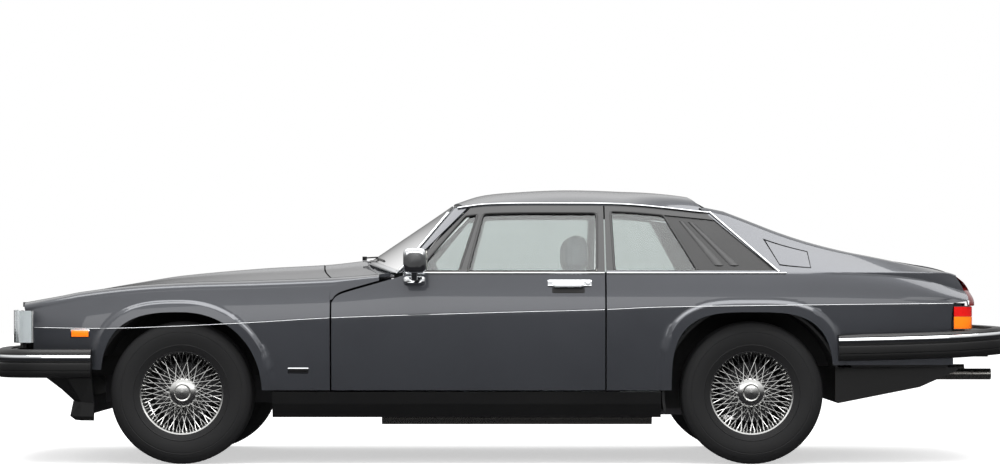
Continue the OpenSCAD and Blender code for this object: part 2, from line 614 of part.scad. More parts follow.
// Cross holes for towing and lashing, in the front ends of the rails
tow_x = X(-2190);
tow_z = Z(436);
tow_r = 10;
engine_y = Y(272);
buffer_x = X(-980);
buffer_top = bonnet_z(buffer_x, (front_house_y - 6) / bonnet_y(buffer_x)) - panel_t - 0.8;
module front_rails() {
    color("dimgray") {
        both_sides() {
            difference() {
                box(X(-2283.4), bulkhead_x, -Y(370), -Y(300), Z(394), wing_shelf_z);
                translate([tow_x, -Y(370) - 1, tow_z]) rotate([-90, 0, 0])
                    cylinder(r = tow_r, h = Y(70) + 2, $fn = 48);
            }
            // Engine mounts
            box(X(-1420), X(-1340), -Y(301), -engine_y - fit, Z(420), Z(480));
            box(X(-2090), bulkhead_x, -front_house_y, -Y(300), wing_shelf_z, wing_shelf_z + 10);
            translate([0, -front_house_y + 12, 0]) rotate([90, 0, 0]) linear_extrude(12)
                polygon([[X(-2090), wing_shelf_z + 10], [bulkhead_x, wing_shelf_z + 10],
                    [bulkhead_x, Z(800)], [X(-2090), Z(690)]]);
            // Rubber buffer under the rear of the bonnet
            translate([buffer_x, -front_house_y + 6, Z(760)])
                cylinder(r = 5.5, h = buffer_top - Z(760), $fn = 24);
        }
        box(X(-2110), X(-2090), -front_house_y, front_house_y, wing_shelf_z, Z(690));
        both_sides() box(X(-2217), X(-2110), -Y(330), -Y(300), wing_shelf_z, Z(600));
    }
}
module wheel_houses() {
    reach = function(x, z) side(x, z) - panel_t - fit;
    front_y = min(reach(front_axle - house_r, Z(430)), reach(front_axle + house_r, Z(430)));
    rear_y = min(reach(rear_axle - house_r, body_bottom), reach(rear_axle + house_r, Z(452))) - 6;
    big = body_width;
    color("black") both_sides() {
        difference() {
            wheel_tube(front_axle, house_r + house_t, -front_y, -front_house_y - fit);
            wheel_tube(front_axle, house_r, -front_y - 1, -front_house_y + 1);
            box(-big * 2, big, -big, 0, -big, wing_shelf_z);
        }
        difference() {
            wheel_tube(rear_axle, house_r + house_t, -rear_y, -rear_house_y - fit);
            wheel_tube(rear_axle, house_r, -rear_y - 1, -rear_house_y - house_t);
            wheel_tube(rear_axle, spindle_r + 30, -rear_y, -rear_house_y + 1);
            box(-big, rear_axle, -big, 0, -big, floor_z + floor_t + fit);
            box(rear_axle - 1, big * 2, -big, 0, -big, boot_floor_z);
        }
    }
}
module boot_floor() {
    x0 = seat_back_x + floor_t;
    x1 = X(2040);
    color("dimgray") {
        box(x0, x1, -rear_house_y, rear_house_y, boot_floor_z, boot_floor_z + 18);
        box(x1, X(2100), -rear_house_y, rear_house_y, boot_floor_z, Z(560));
        both_sides() {
            box(X(1600), x1, -Y(800), -rear_house_y, boot_floor_z, boot_floor_z + 18);
            box(x1, X(2283.4), -Y(400), -Y(320), Z(480), Z(560));
        }
    }
}
module engine() {
    color("gray") box(X(-1860), X(-900), -engine_y, engine_y, Z(262), Z(742));
}

// Points along a plan path, with their normals to the left of travel
function mirrored(path) =
    concat(path, [for (i = [len(path) - 2:-1:0]) [path[i].x, -path[i].y, path[i].z]]);
function heading(path, i) =
    let (a = path[max(i - 1, 0)], b = path[min(i + 1, len(path) - 1)], d = [b.x - a.x, b.y - a.y])
    [-d.y, d.x] / norm(d);
module along(path, section, depth = []) {
    loft([for (i = [0:len(path) - 1]) let (n = heading(path, i), p = path[i])
        [for (k = [len(section) - 1:-1:0])
            let (s = section[k], d = s.x == bumper_back ? -depth[min(i, len(path) - 1 - i)] : s.x)
            [p.x + n.x * d, p.y + n.y * d, s.y + p.z]]]);
}
// Marks the points of a bumper section that lie against the body
bumper_back = -1000;
function backwards(path) = [for (i = [len(path) - 1:-1:0]) path[i]];
front_path = mirrored([for (p = [[-1853, -906], [-2060, -900], [-2165, -880], [-2240, -836],
    [-2296, -740], [-2340, -520], [-2368, -260], [-2378, 0]]) [X(p.x), Y(p.y), 0]]);
rear_path = backwards(mirrored([for (p = [[1533, -905, 0], [1800, -900, 6], [2050, -884, 14],
    [2190, -852, 22], [2285, -780, 28], [2336, -640, 30], [2368, -350, 30], [2378, 0, 30]])
    [X(p.x), Y(p.y), Z(p.z)]]));
blade = function(z) [for (s = [[-3.6, z], [6, z + 2], [9, z + 14], [3, z + 27], [-3.6, z + 29]])
    [s.x, Z(s.y)]];
module front_bumper() {
    color("black") along(front_path, [for (s = [[bumper_back, 394], [-14, 394], [0, 406],
        [4, 462], [-4, 468], [-4, 500], [-14, 516], [bumper_back, 522]]) [s.x, Z(s.y)]],
        [48, 62, 72, 72, 72, 72, 72, 72]);
    color("silver") along(front_path, blade(469));
}
module rear_bumper() {
    color("black") along(rear_path, [for (s = [[bumper_back, 470], [-12, 476], [0, 486], [4, 538],
        [-4, 546], [-4, 574], [-12, 588], [bumper_back, 590]]) [s.x, Z(s.y)]],
        [12.5, 32, 38, 45, 78, 78, 78, 78]);
    color("silver") along(rear_path, blade(546));
}

// Ends of the car: valances, nose and tail panels, lamps and grille
nose_path = mirrored([for (p = [[-2136, -786], [-2186, -766], [-2212, -732], [-2238, -650],
    [-2257, -478], [-2268, -240], [-2272, 0]]) [X(p.x), Y(p.y), 0]]);
tail_path = backwards(mirrored([for (p = [[2063, -838], [2112, -830], [2144, -804],
    [2156, -740], [2162, -500], [2166, -240], [2168, 0]]) [X(p.x), Y(p.y), 0]]));
grille_path = mirrored([for (p = [[-2257, -462], [-2268, -240], [-2272, 0]])
    [X(p.x), Y(p.y), 0]]);
function inset(path, d) = [for (i = [0:len(path) - 1]) let (n = heading(path, i))
    [path[i].x - n.x * d, path[i].y - n.y * d, path[i].z]];
function part(path, a, b) = [for (i = [a:b]) path[i]];
lamp_depth = 30;
module plate_along(path, d0, d1, z0, z1) {
    along(path, [[d0, Z(z0)], [d1, Z(z0)], [d1, Z(z1)], [d0, Z(z1)]]);
}
module nose_panel() {
    top = 684;
    color("dimgray") plate_along(part(inset(nose_path, lamp_depth), 2, 10), -16, 0, 526, top);
    grille();
}
module headlamps() {
    z0 = Z(548);
    z1 = Z(700);
    path = part(nose_path, 0, 4);
    color("silver") both_sides() loft([for (i = [0:4])
        let (p = path[i], n = heading(path, i), back = i == 0 ? nose_x(z1) - 4 - p.x : 0)
        let (at = function(d, z, back) [min(p.x - n.x * d + back, nose_x(z) - 1.5), p.y - n.y * d, z])
        [at(lamp_depth - fit, z1, back), at(6, z1, back - 3), at(6, z0, 0), at(lamp_depth - fit, z0, 0)]]);
}
module grille() {
    bars = 5;
    color("black") {
        for (k = [0:bars - 1]) plate_along([for (p = grille_path) [p.x, p.y * 0.99, 0]], -26, -12,
            584 + k * 24, 592 + k * 24);
        plate_along(grille_path, -lamp_depth + fit, -22, 580, 688);
    }
}
module tail_panel() {
    color("dimgray") plate_along(inset(tail_path, lamp_depth), -16, 0, 560.4, 732);
    // Rubber buffers under the edge of the boot lid
    color("black") both_sides()
        box(X(2122), X(2131), Y(290), Y(330), Z(731), Z(743.4));
}
module tail_lamps() {
    n = len(tail_path) - 1;
    color("red") for (side_part = [part(tail_path, 0, 4), part(tail_path, n - 4, n)])
        plate_along(side_part, -lamp_depth + fit, 0, 613, 719);
}
// Each ring of the front skirt: top point, then bottom point, from the arch round to the middle
skirt_rings = [[-1853, -884, 394, -1840, -876, 278], [-1960, -872, 394, -1900, -860, 284],
    [-2050, -830, 394, -1940, -800, 288], [-2086, -700, 394, -1950, -690, 290],
    [-2098, -350, 394, -1955, -345, 290], [-2102, 0, 394, -1957, 0, 290]];
skirt_path = mirrored([for (r = skirt_rings) [X(r[0]), Y(r[1]), 0]]);
skirt_foot = mirrored([for (r = skirt_rings) [X(r[3]), Y(r[4]), Z(r[5])]]);
module front_skirt() {
    color("black") {
        loft([for (i = [0:len(skirt_path) - 1])
            let (p = skirt_path[i], q = skirt_foot[i], n = heading(skirt_path, i))
            let (top = Z(394) - fit, in = [-n.x * 18, -n.y * 18, 0])
            [[p.x, p.y, top], [q.x, q.y, q.z], q + in, [p.x, p.y, top] + in * 1.3]]);
        // Lip under it, leaning forward
        loft([for (i = [0:len(skirt_path) - 1])
            let (q = skirt_foot[i], n = heading(skirt_path, i), at = function(d, z)
                [q.x - n.x * d, q.y - n.y * d * 0.2, z])
            [at(-4, q.z - fit), at(-22, Z(219)), at(8, Z(200)), at(26, q.z - fit)]]);
    }
}
// Tail pipes
pipe_y = Y(430);
pipe_z = Z(400);
pipe_r = 26;
module rear_skirt() {
    x0 = rear_axle + arch_r + 16;
    top = boot_floor_z - fit;
    profile = [[x0, top], [x0, Z(286)], [X(1540), Z(276)], [X(1912), Z(350)],
        [X(2079), Z(425)], [X(2096), top]];
    color("black") difference() {
        rotate([90, 0, 0]) translate([0, 0, -Y(800)]) linear_extrude(2 * Y(800)) polygon(profile);
        rotate([90, 0, 0]) translate([0, 0, -Y(780)]) linear_extrude(2 * Y(780))
            polygon([[x0 + 20, Z(480)], [x0 + 20, Z(306)], [X(1548), Z(298)], [X(1905), Z(370)],
                [X(2058), Z(440)], [X(2070), Z(480)]]);
        both_sides() translate([X(1880), -pipe_y, pipe_z]) rotate([0, 90, 0])
            cylinder(r = pipe_r + 6, h = X(2130) - X(1880), $fn = 48);
    }
}

module valances() {
    front_skirt();
    rear_skirt();
}

// Wheels: rim, disc, hub and brake disc in one turned piece, with the tyre round it
rim_r = rim_diameter / 2;
rim_half = 92;
bead_r = rim_r - 16;
function wheel_y(track) = track / 2;
module turned(profile) {
    rotate([-90, 0, 0]) rotate_extrude($fn = 96) polygon(profile);
}
// The profile is drawn for the right side: positive w points outboard
module wheel_shape() {
    b = hub_bore / 2;
    turned([[b, -52], [138, -52], [138, -40], [60, -40], [64, -4], [bead_r - 8, -18],
        [bead_r - 8, -rim_half], [rim_r, -rim_half - 8], [rim_r, -rim_half], [bead_r, -rim_half + 4],
        [bead_r, rim_half - 4], [rim_r, rim_half], [rim_r, rim_half + 8], [bead_r - 8, rim_half + 2],
        [bead_r - 8, -6], [66, 14], [54, 60], [b, 60]]);
}
module tyre_shape() {
    r = tyre_diameter / 2;
    w = tyre_width / 2;
    inner = bead_r + fit;
    bulge = mix(inner, r, 0.52);
    turned([[inner, -rim_half + 6], [rim_r + 10, -rim_half], [bulge, -w], [r - 24, -w + 6],
        [r - 8, -w + 18], [r, -w + 42], [r, w - 42], [r - 8, w - 18], [r - 24, w - 6], [bulge, w],
        [rim_r + 10, rim_half], [inner, rim_half - 6]]);
}
module at_wheel(x, track, left) {
    translate([x, (left ? -1 : 1) * wheel_y(track), axle_z]) mirror([0, left ? 1 : 0, 0]) children();
}
module rim(x, track, left) {
    color("silver") at_wheel(x, track, left) wheel_shape();
}
module tyre(x, track, left) {
    color("black") at_wheel(x, track, left) tyre_shape();
}
module wheel_front_left() { rim(front_axle, front_track, true); }
module wheel_front_right() { rim(front_axle, front_track, false); }
module wheel_rear_left() { rim(rear_axle, rear_track, true); }
module wheel_rear_right() { rim(rear_axle, rear_track, false); }
module tyre_front_left() { tyre(front_axle, front_track, true); }
module tyre_front_right() { tyre(front_axle, front_track, false); }
module tyre_rear_left() { tyre(rear_axle, rear_track, true); }
module tyre_rear_right() { tyre(rear_axle, rear_track, false); }

// Running gear
spindle_r = hub_bore / 2 - 0.3;
ball_z = 118;
arm_t = 18;
module along_y(x, z, r, y0, y1) {
    translate([x, y0, z]) rotate([-90, 0, 0]) cylinder(r = r, h = y1 - y0, $fn = 48);
}
module knuckle(left) {
    k = -kingpin_inset;
    color("gray") at_wheel(front_axle, front_track, left) {
        along_y(0, 0, spindle_r, k, 52);
        difference() {
            translate([-32, k - 20, -ball_z]) cube([64, 26, 2 * ball_z]);
            translate([0, k, -ball_z - 1]) cylinder(r = 9, h = 26, $fn = 32);
            translate([0, k, ball_z - 25]) cylinder(r = 9, h = 26, $fn = 32);
        }
        // Brake caliper behind the axle, open round the disc
        difference() {
            translate([32, k - 20, -50]) cube([128, 70, 100]);
            along_y(0, 0, 145, -58, -34);
            along_y(0, 0, 72, -58, 0);
        }
    }
}
module knuckle_left() { knuckle(true); }
module knuckle_right() { knuckle(false); }
tower_y = Y(400);
module front_suspension() {
    y = wheel_y(front_track) - kingpin_inset;
    color("dimgray") {
        box(front_axle - 120, front_axle + 120, -tower_y, tower_y, 165, 225);
        both_sides() {
            box(front_axle - 120, front_axle + 120, -tower_y, -Y(370) - fit, 225, Z(480));
            for (top = [0, 1]) {
                z = axle_z + (top ? ball_z + 4 : -ball_z - 4 - arm_t);
                translate([front_axle, 0, z]) linear_extrude(arm_t)
                    polygon([[-10, -y - 12], [10, -y - 12], [22, -y + 6], [110, -tower_y],
                        [60, -tower_y], [0, -y + 70], [-60, -tower_y], [-110, -tower_y], [-22, -y + 6]]);
                translate([front_axle, -y, axle_z + (top ? ball_z - 24 : -ball_z - 4 - arm_t / 2)])
                    cylinder(r = 8.7, h = 28 + arm_t / 2, $fn = 32);
            }
        }
    }
}
module rear_suspension() {
    y = wheel_y(rear_track);
    color("dimgray") {
        along_y(rear_axle, axle_z, spindle_r, -y - 52, y + 52);
        box(rear_axle - 98, rear_axle + 130, -Y(150), Y(150), axle_z - 90, axle_z + 90);
        box(rear_axle - 60, rear_axle + 60, -Y(240), Y(240), axle_z + 90, boot_floor_z - fit);
        both_sides() {
            box(rear_axle - 34, rear_axle + 34, -y + 68, -y + 96, axle_z - 130, axle_z + 100);
            box(rear_axle - 40, rear_axle + 40, -y + 96, -Y(150), axle_z - 130, axle_z - 104);
            box(rear_axle - 98, rear_axle + 40, -Y(170), -Y(120), axle_z - 130, axle_z - 90);
        }
    }
}
module exhaust() {
    silencer_z = Z(388);
    length = X(2290) - X(1780);
    color("gray") both_sides() {
        translate([X(1570), pipe_y, silencer_z]) rotate([0, 90, 0])
            cylinder(r = 41, h = X(1784) - X(1570), $fn = 64);
        translate([X(1780), pipe_y, pipe_z]) rotate([0, 90, 0]) difference() {
            cylinder(r = pipe_r, h = length, $fn = 64);
            translate([0, 0, 80]) cylinder(r = pipe_r - 4, h = length, $fn = 64);
        }
        box(X(1660), X(1690), pipe_y - 20, pipe_y + 20, silencer_z + 30, boot_floor_z - fit);
        translate([X(-560), Y(190), floor_z - 34]) rotate([0, 90, 0])
            cylinder(r = 26, h = X(720) - X(-560), $fn = 48);
        for (x = [-400, 500]) box(X(x), X(x) + 30, Y(180), Y(200), floor_z - 20, floor_z - fit);
    }
}

// Cabin: seats, dashboard, console and steering wheel
seat_floor = floor_z + floor_t;
// A block with rounded plan, as level slices [x0, x1, half width, z] from the bottom up
module cushion(slices, y0) {
    loft([for (s = slices) [for (k = [31:-1:0])
        let (a = 360 * k / 32, c = cos(a), w = sin(a))
        [(s[0] + s[1]) / 2 + (s[1] - s[0]) / 2 * sign(c) * abs(c) ^ 0.5,
            y0 + s[2] * sign(w) * abs(w) ^ 0.5, s[3]]]]);
}
// Seats are placed from the driver's hip, and their heights from the cabin floor
hip_x = X(200);
module front_seat(left) {
    y = left ? -seat_y : seat_y;
    w = seat_w / 2;
    back = [[0, 190, 0.92], [150, 150, 1], [360, 140, 0.98], [480, 105, 0.86], [520, 70, 0.72]];
    color("gray") {
        box(hip_x - 430, hip_x + 40, y - w + 40, y + w - 40, seat_floor, seat_floor + 60);
        cushion([for (s = [[-500, 20, 0.95, 60.3], [-515, 30, 1, 110], [-515, 20, 1, 190],
            [-490, 0, 0.93, 222]]) [hip_x + s[0], hip_x + s[1], w * s[2], seat_floor + s[3]]], y);
        cushion([for (s = back) let (x = hip_x + 22.6 + s[0] * 0.2)
            [x, x + s[1] * 0.8, w * s[2], seat_floor + 70 + s[0]]], y);
        for (dy = [-50, 50]) translate([hip_x + 154, y + dy, seat_floor + 590.3])
            cylinder(r = 7, h = 39, $fn = 24);
        cushion([for (s = [[0, 0.8], [30, 1], [125, 1], [160, 0.8]])
            [hip_x + 154 - 52 * s[1], hip_x + 154 + 52 * s[1], 130 * s[1],
                seat_floor + 629.6 + s[0]]], y);
    }
}
module front_seats() {
    front_seat(true);
    front_seat(false);
}
module rear_seat() {
    x1 = seat_back_x - 0.3;
    w = rear_house_y - 16;
    color("gray") {
        cushion([for (s = [[-400, -120, 1, 0.3], [-400, -110, 1, 90], [-400, -130, 1, 150],
            [-370, -140, 0.96, 178]]) [x1 + s[0], x1 + s[1], w * s[2], seat_floor + s[3]]], 0);
        cushion([for (s = [[-105, 0, 1, 60], [-100, 0, 1, 300], [-84, 0, 1, 500], [-60, 0, 0.96, 540]])
            [x1 + s[0], x1 + s[1], w * s[2], seat_floor + s[3]]], 0);
    }
}
module dashboard() {
    w = Y(676);
    profile = [[bulkhead_x + floor_t + fit, Z(640)], [bulkhead_x + floor_t + fit, Z(816)],
        [X(-500), Z(822)], [X(-424), Z(792)], [X(-396), Z(740)], [X(-420), Z(640)]];
    color("black") {
        translate([0, w, 0]) rotate([90, 0, 0]) linear_extrude(2 * w) polygon(profile);
        translate(column_foot) rotate([0, column_tilt, 0]) translate([0, 0, -160]) difference() {
            cylinder(r = 28, h = 122, $fn = 48);
            translate([0, 0, 94]) cylinder(r = shaft_r + 0.3, h = 40, $fn = 48);
        }
    }
    console();
}
shaft_r = 14;
// The steering column points back and up to the driver
column_tilt = 66;
column_foot = [X(-255), -seat_y, Z(772)];
module steering_wheel() {
    rim_section = 13;
    r = steering_wheel_d / 2 - rim_section;
    color("black") translate(column_foot) rotate([0, column_tilt, 0]) {
        rotate_extrude($fn = 96) translate([r, 0]) circle(r = rim_section, $fn = 32);
        translate([0, 0, -32]) cylinder(r = 36, h = 40, $fn = 48);
        for (a = [90, 210, 330]) rotate([0, 0, a]) translate([20, -15, -12]) cube([r - 20, 30, 12]);
        translate([0, 0, -60]) cylinder(r = shaft_r, h = 40, $fn = 48);
    }
}
module console() {
    color("black") {
        box(X(-560), X(250), -tunnel_y, tunnel_y, tunnel_z + fit, tunnel_z + 90);
        translate([X(-190), 0, tunnel_z + 80]) cylinder(r = 9, h = 110, $fn = 32);
        translate([X(-190), 0, tunnel_z + 200]) sphere(r = 22, $fn = 32);
    }
}

// Small outside pieces
module door_mirror_left() {
    x0 = X(-442);
    x1 = X(-335);
    low = function(x, z) -side(x, z) - fit;
    base = [[x0, Z(818)], [x1, Z(818)], [x1, Z(858)], [x0, Z(858)]];
    housing = [[x0 + 4, Z(868)], [x1 + 6, Z(868)], [x1 + 8, Z(984)], [x0 + 10, Z(984)]];
    color("silver") {
        loft([for (d = [36, 0]) [for (b = base) [b.x, low(b.x, b.y) - d, b.y]]]);
        loft([for (s = [[-1040, 0.82], [-1010, 1], [-890, 1], [-878, 0.96]])
            let (c = [(housing[0].x + housing[1].x) / 2, (housing[0].y + housing[2].y) / 2])
            [for (h = housing) [c.x + (h.x - c.x) * s[1], Y(s[0]), c.y + (h.y - c.y) * s[1]]]]);
        translate([(x0 + x1) / 2, -Y(884), Z(850)]) cylinder(r = 15, h = Z(24), $fn = 32);
    }
}
module door_mirror_right() { mirror([0, 1, 0]) door_mirror_left(); }
// Two wiper arms with their blades, parked along the foot of the windscreen
module wipers() {
    lift = 1.5;
    color("black") for (t0 = [-0.62, 0.02]) {
        foot = screen_point(t0 + 0.5, 0) + [-26, 0, 0];
        base = [foot.x, foot.y, bonnet_z(foot.x + 11, foot.y / scuttle_edge(foot.x)) + 1.2];
        loft([for (t = steps(t0, t0 + 0.55, 5)) let (p = screen_point(t, 0.07) + [-lift, 0, lift])
            [p + [3, 0, 0], p + [6, 0, 5], p + [0, 0, 5], p + [-3, 0, 0]]]);
        loft([for (s = [0, 1]) let (p = mix(base + [0, 0, 10], screen_point(t0 + 0.25, 0.07)
            + [-lift - 3, 0, lift + 4], s))
            [p + [-5, 0, 0], p + [-5, 0, 6], p + [5, 0, 6], p + [5, 0, 0]]]);
        translate(base) cylinder(r = 11, h = 20, $fn = 32);
    }
}

front_wings();
bonnet();
scuttle();
roof();
fixed_windows();
door_left();
door_right();
door_glass_left();
door_glass_right();
door_mirror_left();
door_mirror_right();
rear_quarters();
quarter_vent_panel();
fuel_flap();
rear_deck();
boot_lid();
sills();
front_bumper();
rear_bumper();
nose_panel();
headlamps();
tail_panel();
tail_lamps();
valances();
wipers();
floor_pan();
front_bulkhead();
rear_bulkhead();
front_rails();
wheel_houses();
boot_floor();
engine();
exhaust();
front_suspension();
rear_suspension();
knuckle_left();
knuckle_right();
wheel_front_left();
wheel_front_right();
wheel_rear_left();
wheel_rear_right();
tyre_front_left();
tyre_front_right();
tyre_rear_left();
tyre_rear_right();
dashboard();
steering_wheel();
front_seats();
rear_seat();
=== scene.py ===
"""Looks of a two-door grand touring coupe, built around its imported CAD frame.

Metres; front of the car at -X, left side at -Y, ground at Z = 0.
"""
import math

import bpy
import numpy as np
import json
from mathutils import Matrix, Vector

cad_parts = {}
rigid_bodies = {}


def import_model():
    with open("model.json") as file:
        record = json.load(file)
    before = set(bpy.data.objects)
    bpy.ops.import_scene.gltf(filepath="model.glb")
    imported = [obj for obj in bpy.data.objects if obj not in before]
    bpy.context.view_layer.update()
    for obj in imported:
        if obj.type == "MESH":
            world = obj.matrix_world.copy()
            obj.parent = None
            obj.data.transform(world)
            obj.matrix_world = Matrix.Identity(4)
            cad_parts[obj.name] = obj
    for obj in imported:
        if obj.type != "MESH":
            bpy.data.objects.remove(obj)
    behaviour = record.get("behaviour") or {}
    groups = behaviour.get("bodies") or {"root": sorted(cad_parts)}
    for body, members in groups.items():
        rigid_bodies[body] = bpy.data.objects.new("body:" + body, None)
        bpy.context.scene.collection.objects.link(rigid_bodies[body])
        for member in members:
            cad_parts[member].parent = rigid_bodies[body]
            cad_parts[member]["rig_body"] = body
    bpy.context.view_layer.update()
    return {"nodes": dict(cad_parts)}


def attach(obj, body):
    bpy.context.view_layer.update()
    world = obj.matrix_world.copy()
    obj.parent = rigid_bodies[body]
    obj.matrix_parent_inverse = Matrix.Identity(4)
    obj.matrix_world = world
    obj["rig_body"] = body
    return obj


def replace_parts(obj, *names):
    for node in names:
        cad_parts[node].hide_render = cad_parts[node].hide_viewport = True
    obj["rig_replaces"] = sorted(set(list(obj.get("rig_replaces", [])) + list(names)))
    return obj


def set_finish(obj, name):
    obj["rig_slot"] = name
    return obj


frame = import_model()
NODES = frame["nodes"]
MM = 0.001


# ---------------------------------------------------------------- materials
def colour(code):
    """sRGB hex to linear RGBA."""
    c = np.array([int(code[i:i + 2], 16) for i in (1, 3, 5)]) / 255
    c = np.where(c <= 0.04045, c / 12.92, ((c + 0.055) / 1.055) ** 2.4)
    return (*c.tolist(), 1.0)


def add(tree, kind, links=None, **settings):
    """Adds a shader node: settings are its properties or inputs, links join inputs to outputs."""
    n = tree.nodes.new("ShaderNode" + kind)
    for key, value in settings.items():
        if hasattr(n, key):
            setattr(n, key, value)
        else:
            n.inputs[key.replace("_", " ")].default_value = value
    for key, out in (links or {}).items():
        tree.links.new(out, n.inputs[key.replace("_", " ") if isinstance(key, str) else key])
    return n


def material(name, base, rough=0.5, metal=0.0, grain=900.0, bump=0.0002, vary=0.12, rough_vary=0.08,
             kind="noise", **extra):
    """Principled surface with grain: noise or cells of `grain` per metre shift colour,
    roughness and height (bump in metres)."""
    m = bpy.data.materials.new(name)
    m.use_nodes = True
    t = m.node_tree
    p = t.nodes["Principled BSDF"]
    where = add(t, "TexCoord").outputs["Object"]
    if kind == "noise":
        fine = add(t, "TexNoise", {"Vector": where}, Scale=grain, Detail=4.0).outputs["Fac"]
    else:
        fine = add(t, "TexVoronoi", {"Vector": where}, Scale=grain, feature=kind).outputs["Distance"]
    cloud = add(t, "TexNoise", {"Vector": where}, Scale=3.0, Detail=3.0).outputs["Fac"]
    both = add(t, "Math", {0: fine, 1: cloud}, operation="ADD").outputs[0]
    tone = add(t, "MapRange", {"Value": both}, From_Min=0.4, From_Max=1.6, To_Min=1 - vary,
               To_Max=1 + vary).outputs["Result"]
    tint = add(t, "MixRGB", {"Color1": tone}, blend_type="MULTIPLY", Fac=1.0,
               Color2=colour(base)).outputs["Color"]
    t.links.new(tint, p.inputs["Base Color"])
    shine = add(t, "MapRange", {"Value": both}, From_Min=0.4, From_Max=1.6,
                To_Min=max(rough - rough_vary, 0.0), To_Max=min(rough + rough_vary, 1))
    t.links.new(shine.outputs["Result"], p.inputs["Roughness"])
    if bump:
        b = add(t, "Bump", {"Height": fine}, Strength=1.0, Distance=bump)
        t.links.new(b.outputs["Normal"], p.inputs["Normal"])
    p.inputs["Metallic"].default_value = metal
    for key, value in extra.items():
        p.inputs[key.replace("_", " ")].default_value = value
    return m


def clear(name, tint, rough=0.0, ior=1.45):
    """Clear glass or plastic that lets light rays through unbent."""
    m = material(name, tint, rough, 0.0, 40.0, 0.0, 0.03, 0.0, Transmission_Weight=1.0, IOR=ior)
    t = m.node_tree
    p = t.nodes["Principled BSDF"]
    out = t.nodes["Material Output"]
    see = add(t, "BsdfTransparent", Color=colour(tint))
    shadow = add(t, "LightPath").outputs["Is Shadow Ray"]
    mix = add(t, "MixShader", {0: shadow, 1: p.outputs[0], 2: see.outputs[0]})
    t.links.new(mix.outputs[0], out.inputs["Surface"])
    return m


# Sprayed metallic grey: tiny bright flakes in dark grey, under a smooth clear coat with sharp highlights
PAINT = material("paint_metallic_grey_sprayed", "#414348", 0.3, 0.55, 1500.0, 0.000004, 0.1, 0.04,
                 "F1", Coat_Weight=1.0, Coat_Roughness=0.03, Coat_IOR=1.5)
# Plated and polished: a bright mirror, slightly cool
CHROME = material("chrome_plated_polished", "#dfe1e3", 0.07, 1.0, 60.0, 0.00001, 0.03, 0.03)
# Plated wire and rims: bright, with highlights a little broader than a mirror's
WIRE = material("steel_wire_plated_bright", "#e4e4e2", 0.2, 1.0, 300.0, 0.00001, 0.05, 0.05)
# Worn polished steel: grey metal with soft, uneven highlights
STEEL = material("steel_polished_worn", "#b5b3ae", 0.28, 1.0, 220.0, 0.00003, 0.1, 0.1)
# Moulded rubber: near black with a low, even sheen
RUBBER = material("rubber_moulded_satin", "#0c0c0d", 0.45, 0.0, 1400.0, 0.00004, 0.2, 0.1)
# Grained plastic: black, with fine grain that breaks up its highlights
TRIM = material("plastic_grained_black", "#09090a", 0.5, 0.0, 1600.0, 0.00005, 0.2, 0.08)
# Sprayed satin black: smooth and dark, with soft wide highlights
SATIN = material("paint_satin_black_sprayed", "#0d0d0e", 0.35, 0.0, 900.0, 0.00003, 0.2, 0.08)
# Sprayed stone-chip coating: dull, dark and pebbly
UNDER = material("stone_chip_coating_sprayed", "#161617", 0.8, 0.0, 350.0, 0.0004, 0.3, 0.1)
# Oily cast iron: dark grey metal, rough like fine sand
CASTING = material("iron_cast_oiled", "#3a3a3c", 0.55, 0.7, 260.0, 0.0003, 0.25, 0.15)
# Moulded tyre rubber: dull and almost black
TYRE = material("rubber_tyre_moulded", "#0e0e10", 0.7, 0.0, 900.0, 0.0001, 0.25, 0.1)
# Grained leather: pale grey, with cells about 2 mm across and a soft sheen
LEATHER = material("leather_grained_grey", "#9b9ca3", 0.42, 0.0, 520.0, 0.00025, 0.14, 0.08,
                   "DISTANCE_TO_EDGE", Specular_IOR_Level=0.5)
# Tufted carpet: dark, with no shine
CARPET = material("carpet_tufted_dark", "#2b2a2d", 0.95, 0.0, 700.0, 0.0012, 0.35, 0.05)
# Float glass: clear with a faint green-grey tint and mirror reflections
GLASS = clear("glass_float_tinted", "#bcc4c2")
# Pressed lamp glass: almost colourless
LENS = clear("glass_pressed_clear", "#eef2f4", 0.02)
# Metallised reflector: bright but diffuse
REFLECTOR = material("reflector_metallised", "#f2f2f0", 0.42, 0.75, 200.0, 0.00005, 0.05, 0.08)
# Moulded lamp acrylic: glossy, and lit faintly from within
RED = material("acrylic_moulded_red", "#c41310", 0.12, 0.0, 300.0, 0.00005, 0.15, 0.04,
               Coat_Weight=0.6, Emission_Color=colour("#8a0d08"), Emission_Strength=0.12)
DARK_RED = material("acrylic_moulded_dark_red", "#5a0f10", 0.15, 0.0, 300.0, 0.00005, 0.12, 0.04,
                    Coat_Weight=0.6)
AMBER = material("acrylic_moulded_amber", "#ff7a12", 0.12, 0.0, 300.0, 0.00005, 0.12, 0.04,
                 Coat_Weight=0.6, Emission_Color=colour("#c75306"), Emission_Strength=0.15)
# Painted aluminium plate: flat off-white
PLATE = material("plate_aluminium_painted", "#e6e6e2", 0.35, 0.0, 500.0, 0.00003, 0.04, 0.04)


# ---------------------------------------------------------------- meshes
def mesh(name, verts, faces, mat, body, slot=None, angle=None):
    """New piece from vertices (n, 3) and faces, riding on a CAD body."""
    me = bpy.data.meshes.new(name)
    me.from_pydata(np.asarray(verts, float).reshape(-1, 3).tolist(), [], faces)
    me.materials.append(mat)
    me.polygons.foreach_set("use_smooth", [True] * len(me.polygons))
    if angle:
        me.set_sharp_from_angle(angle=math.radians(angle))
    o = bpy.data.objects.new(name, me)
    bpy.context.scene.collection.objects.link(o)
    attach(o, body)
    if slot:
        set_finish(o, slot)
    return o


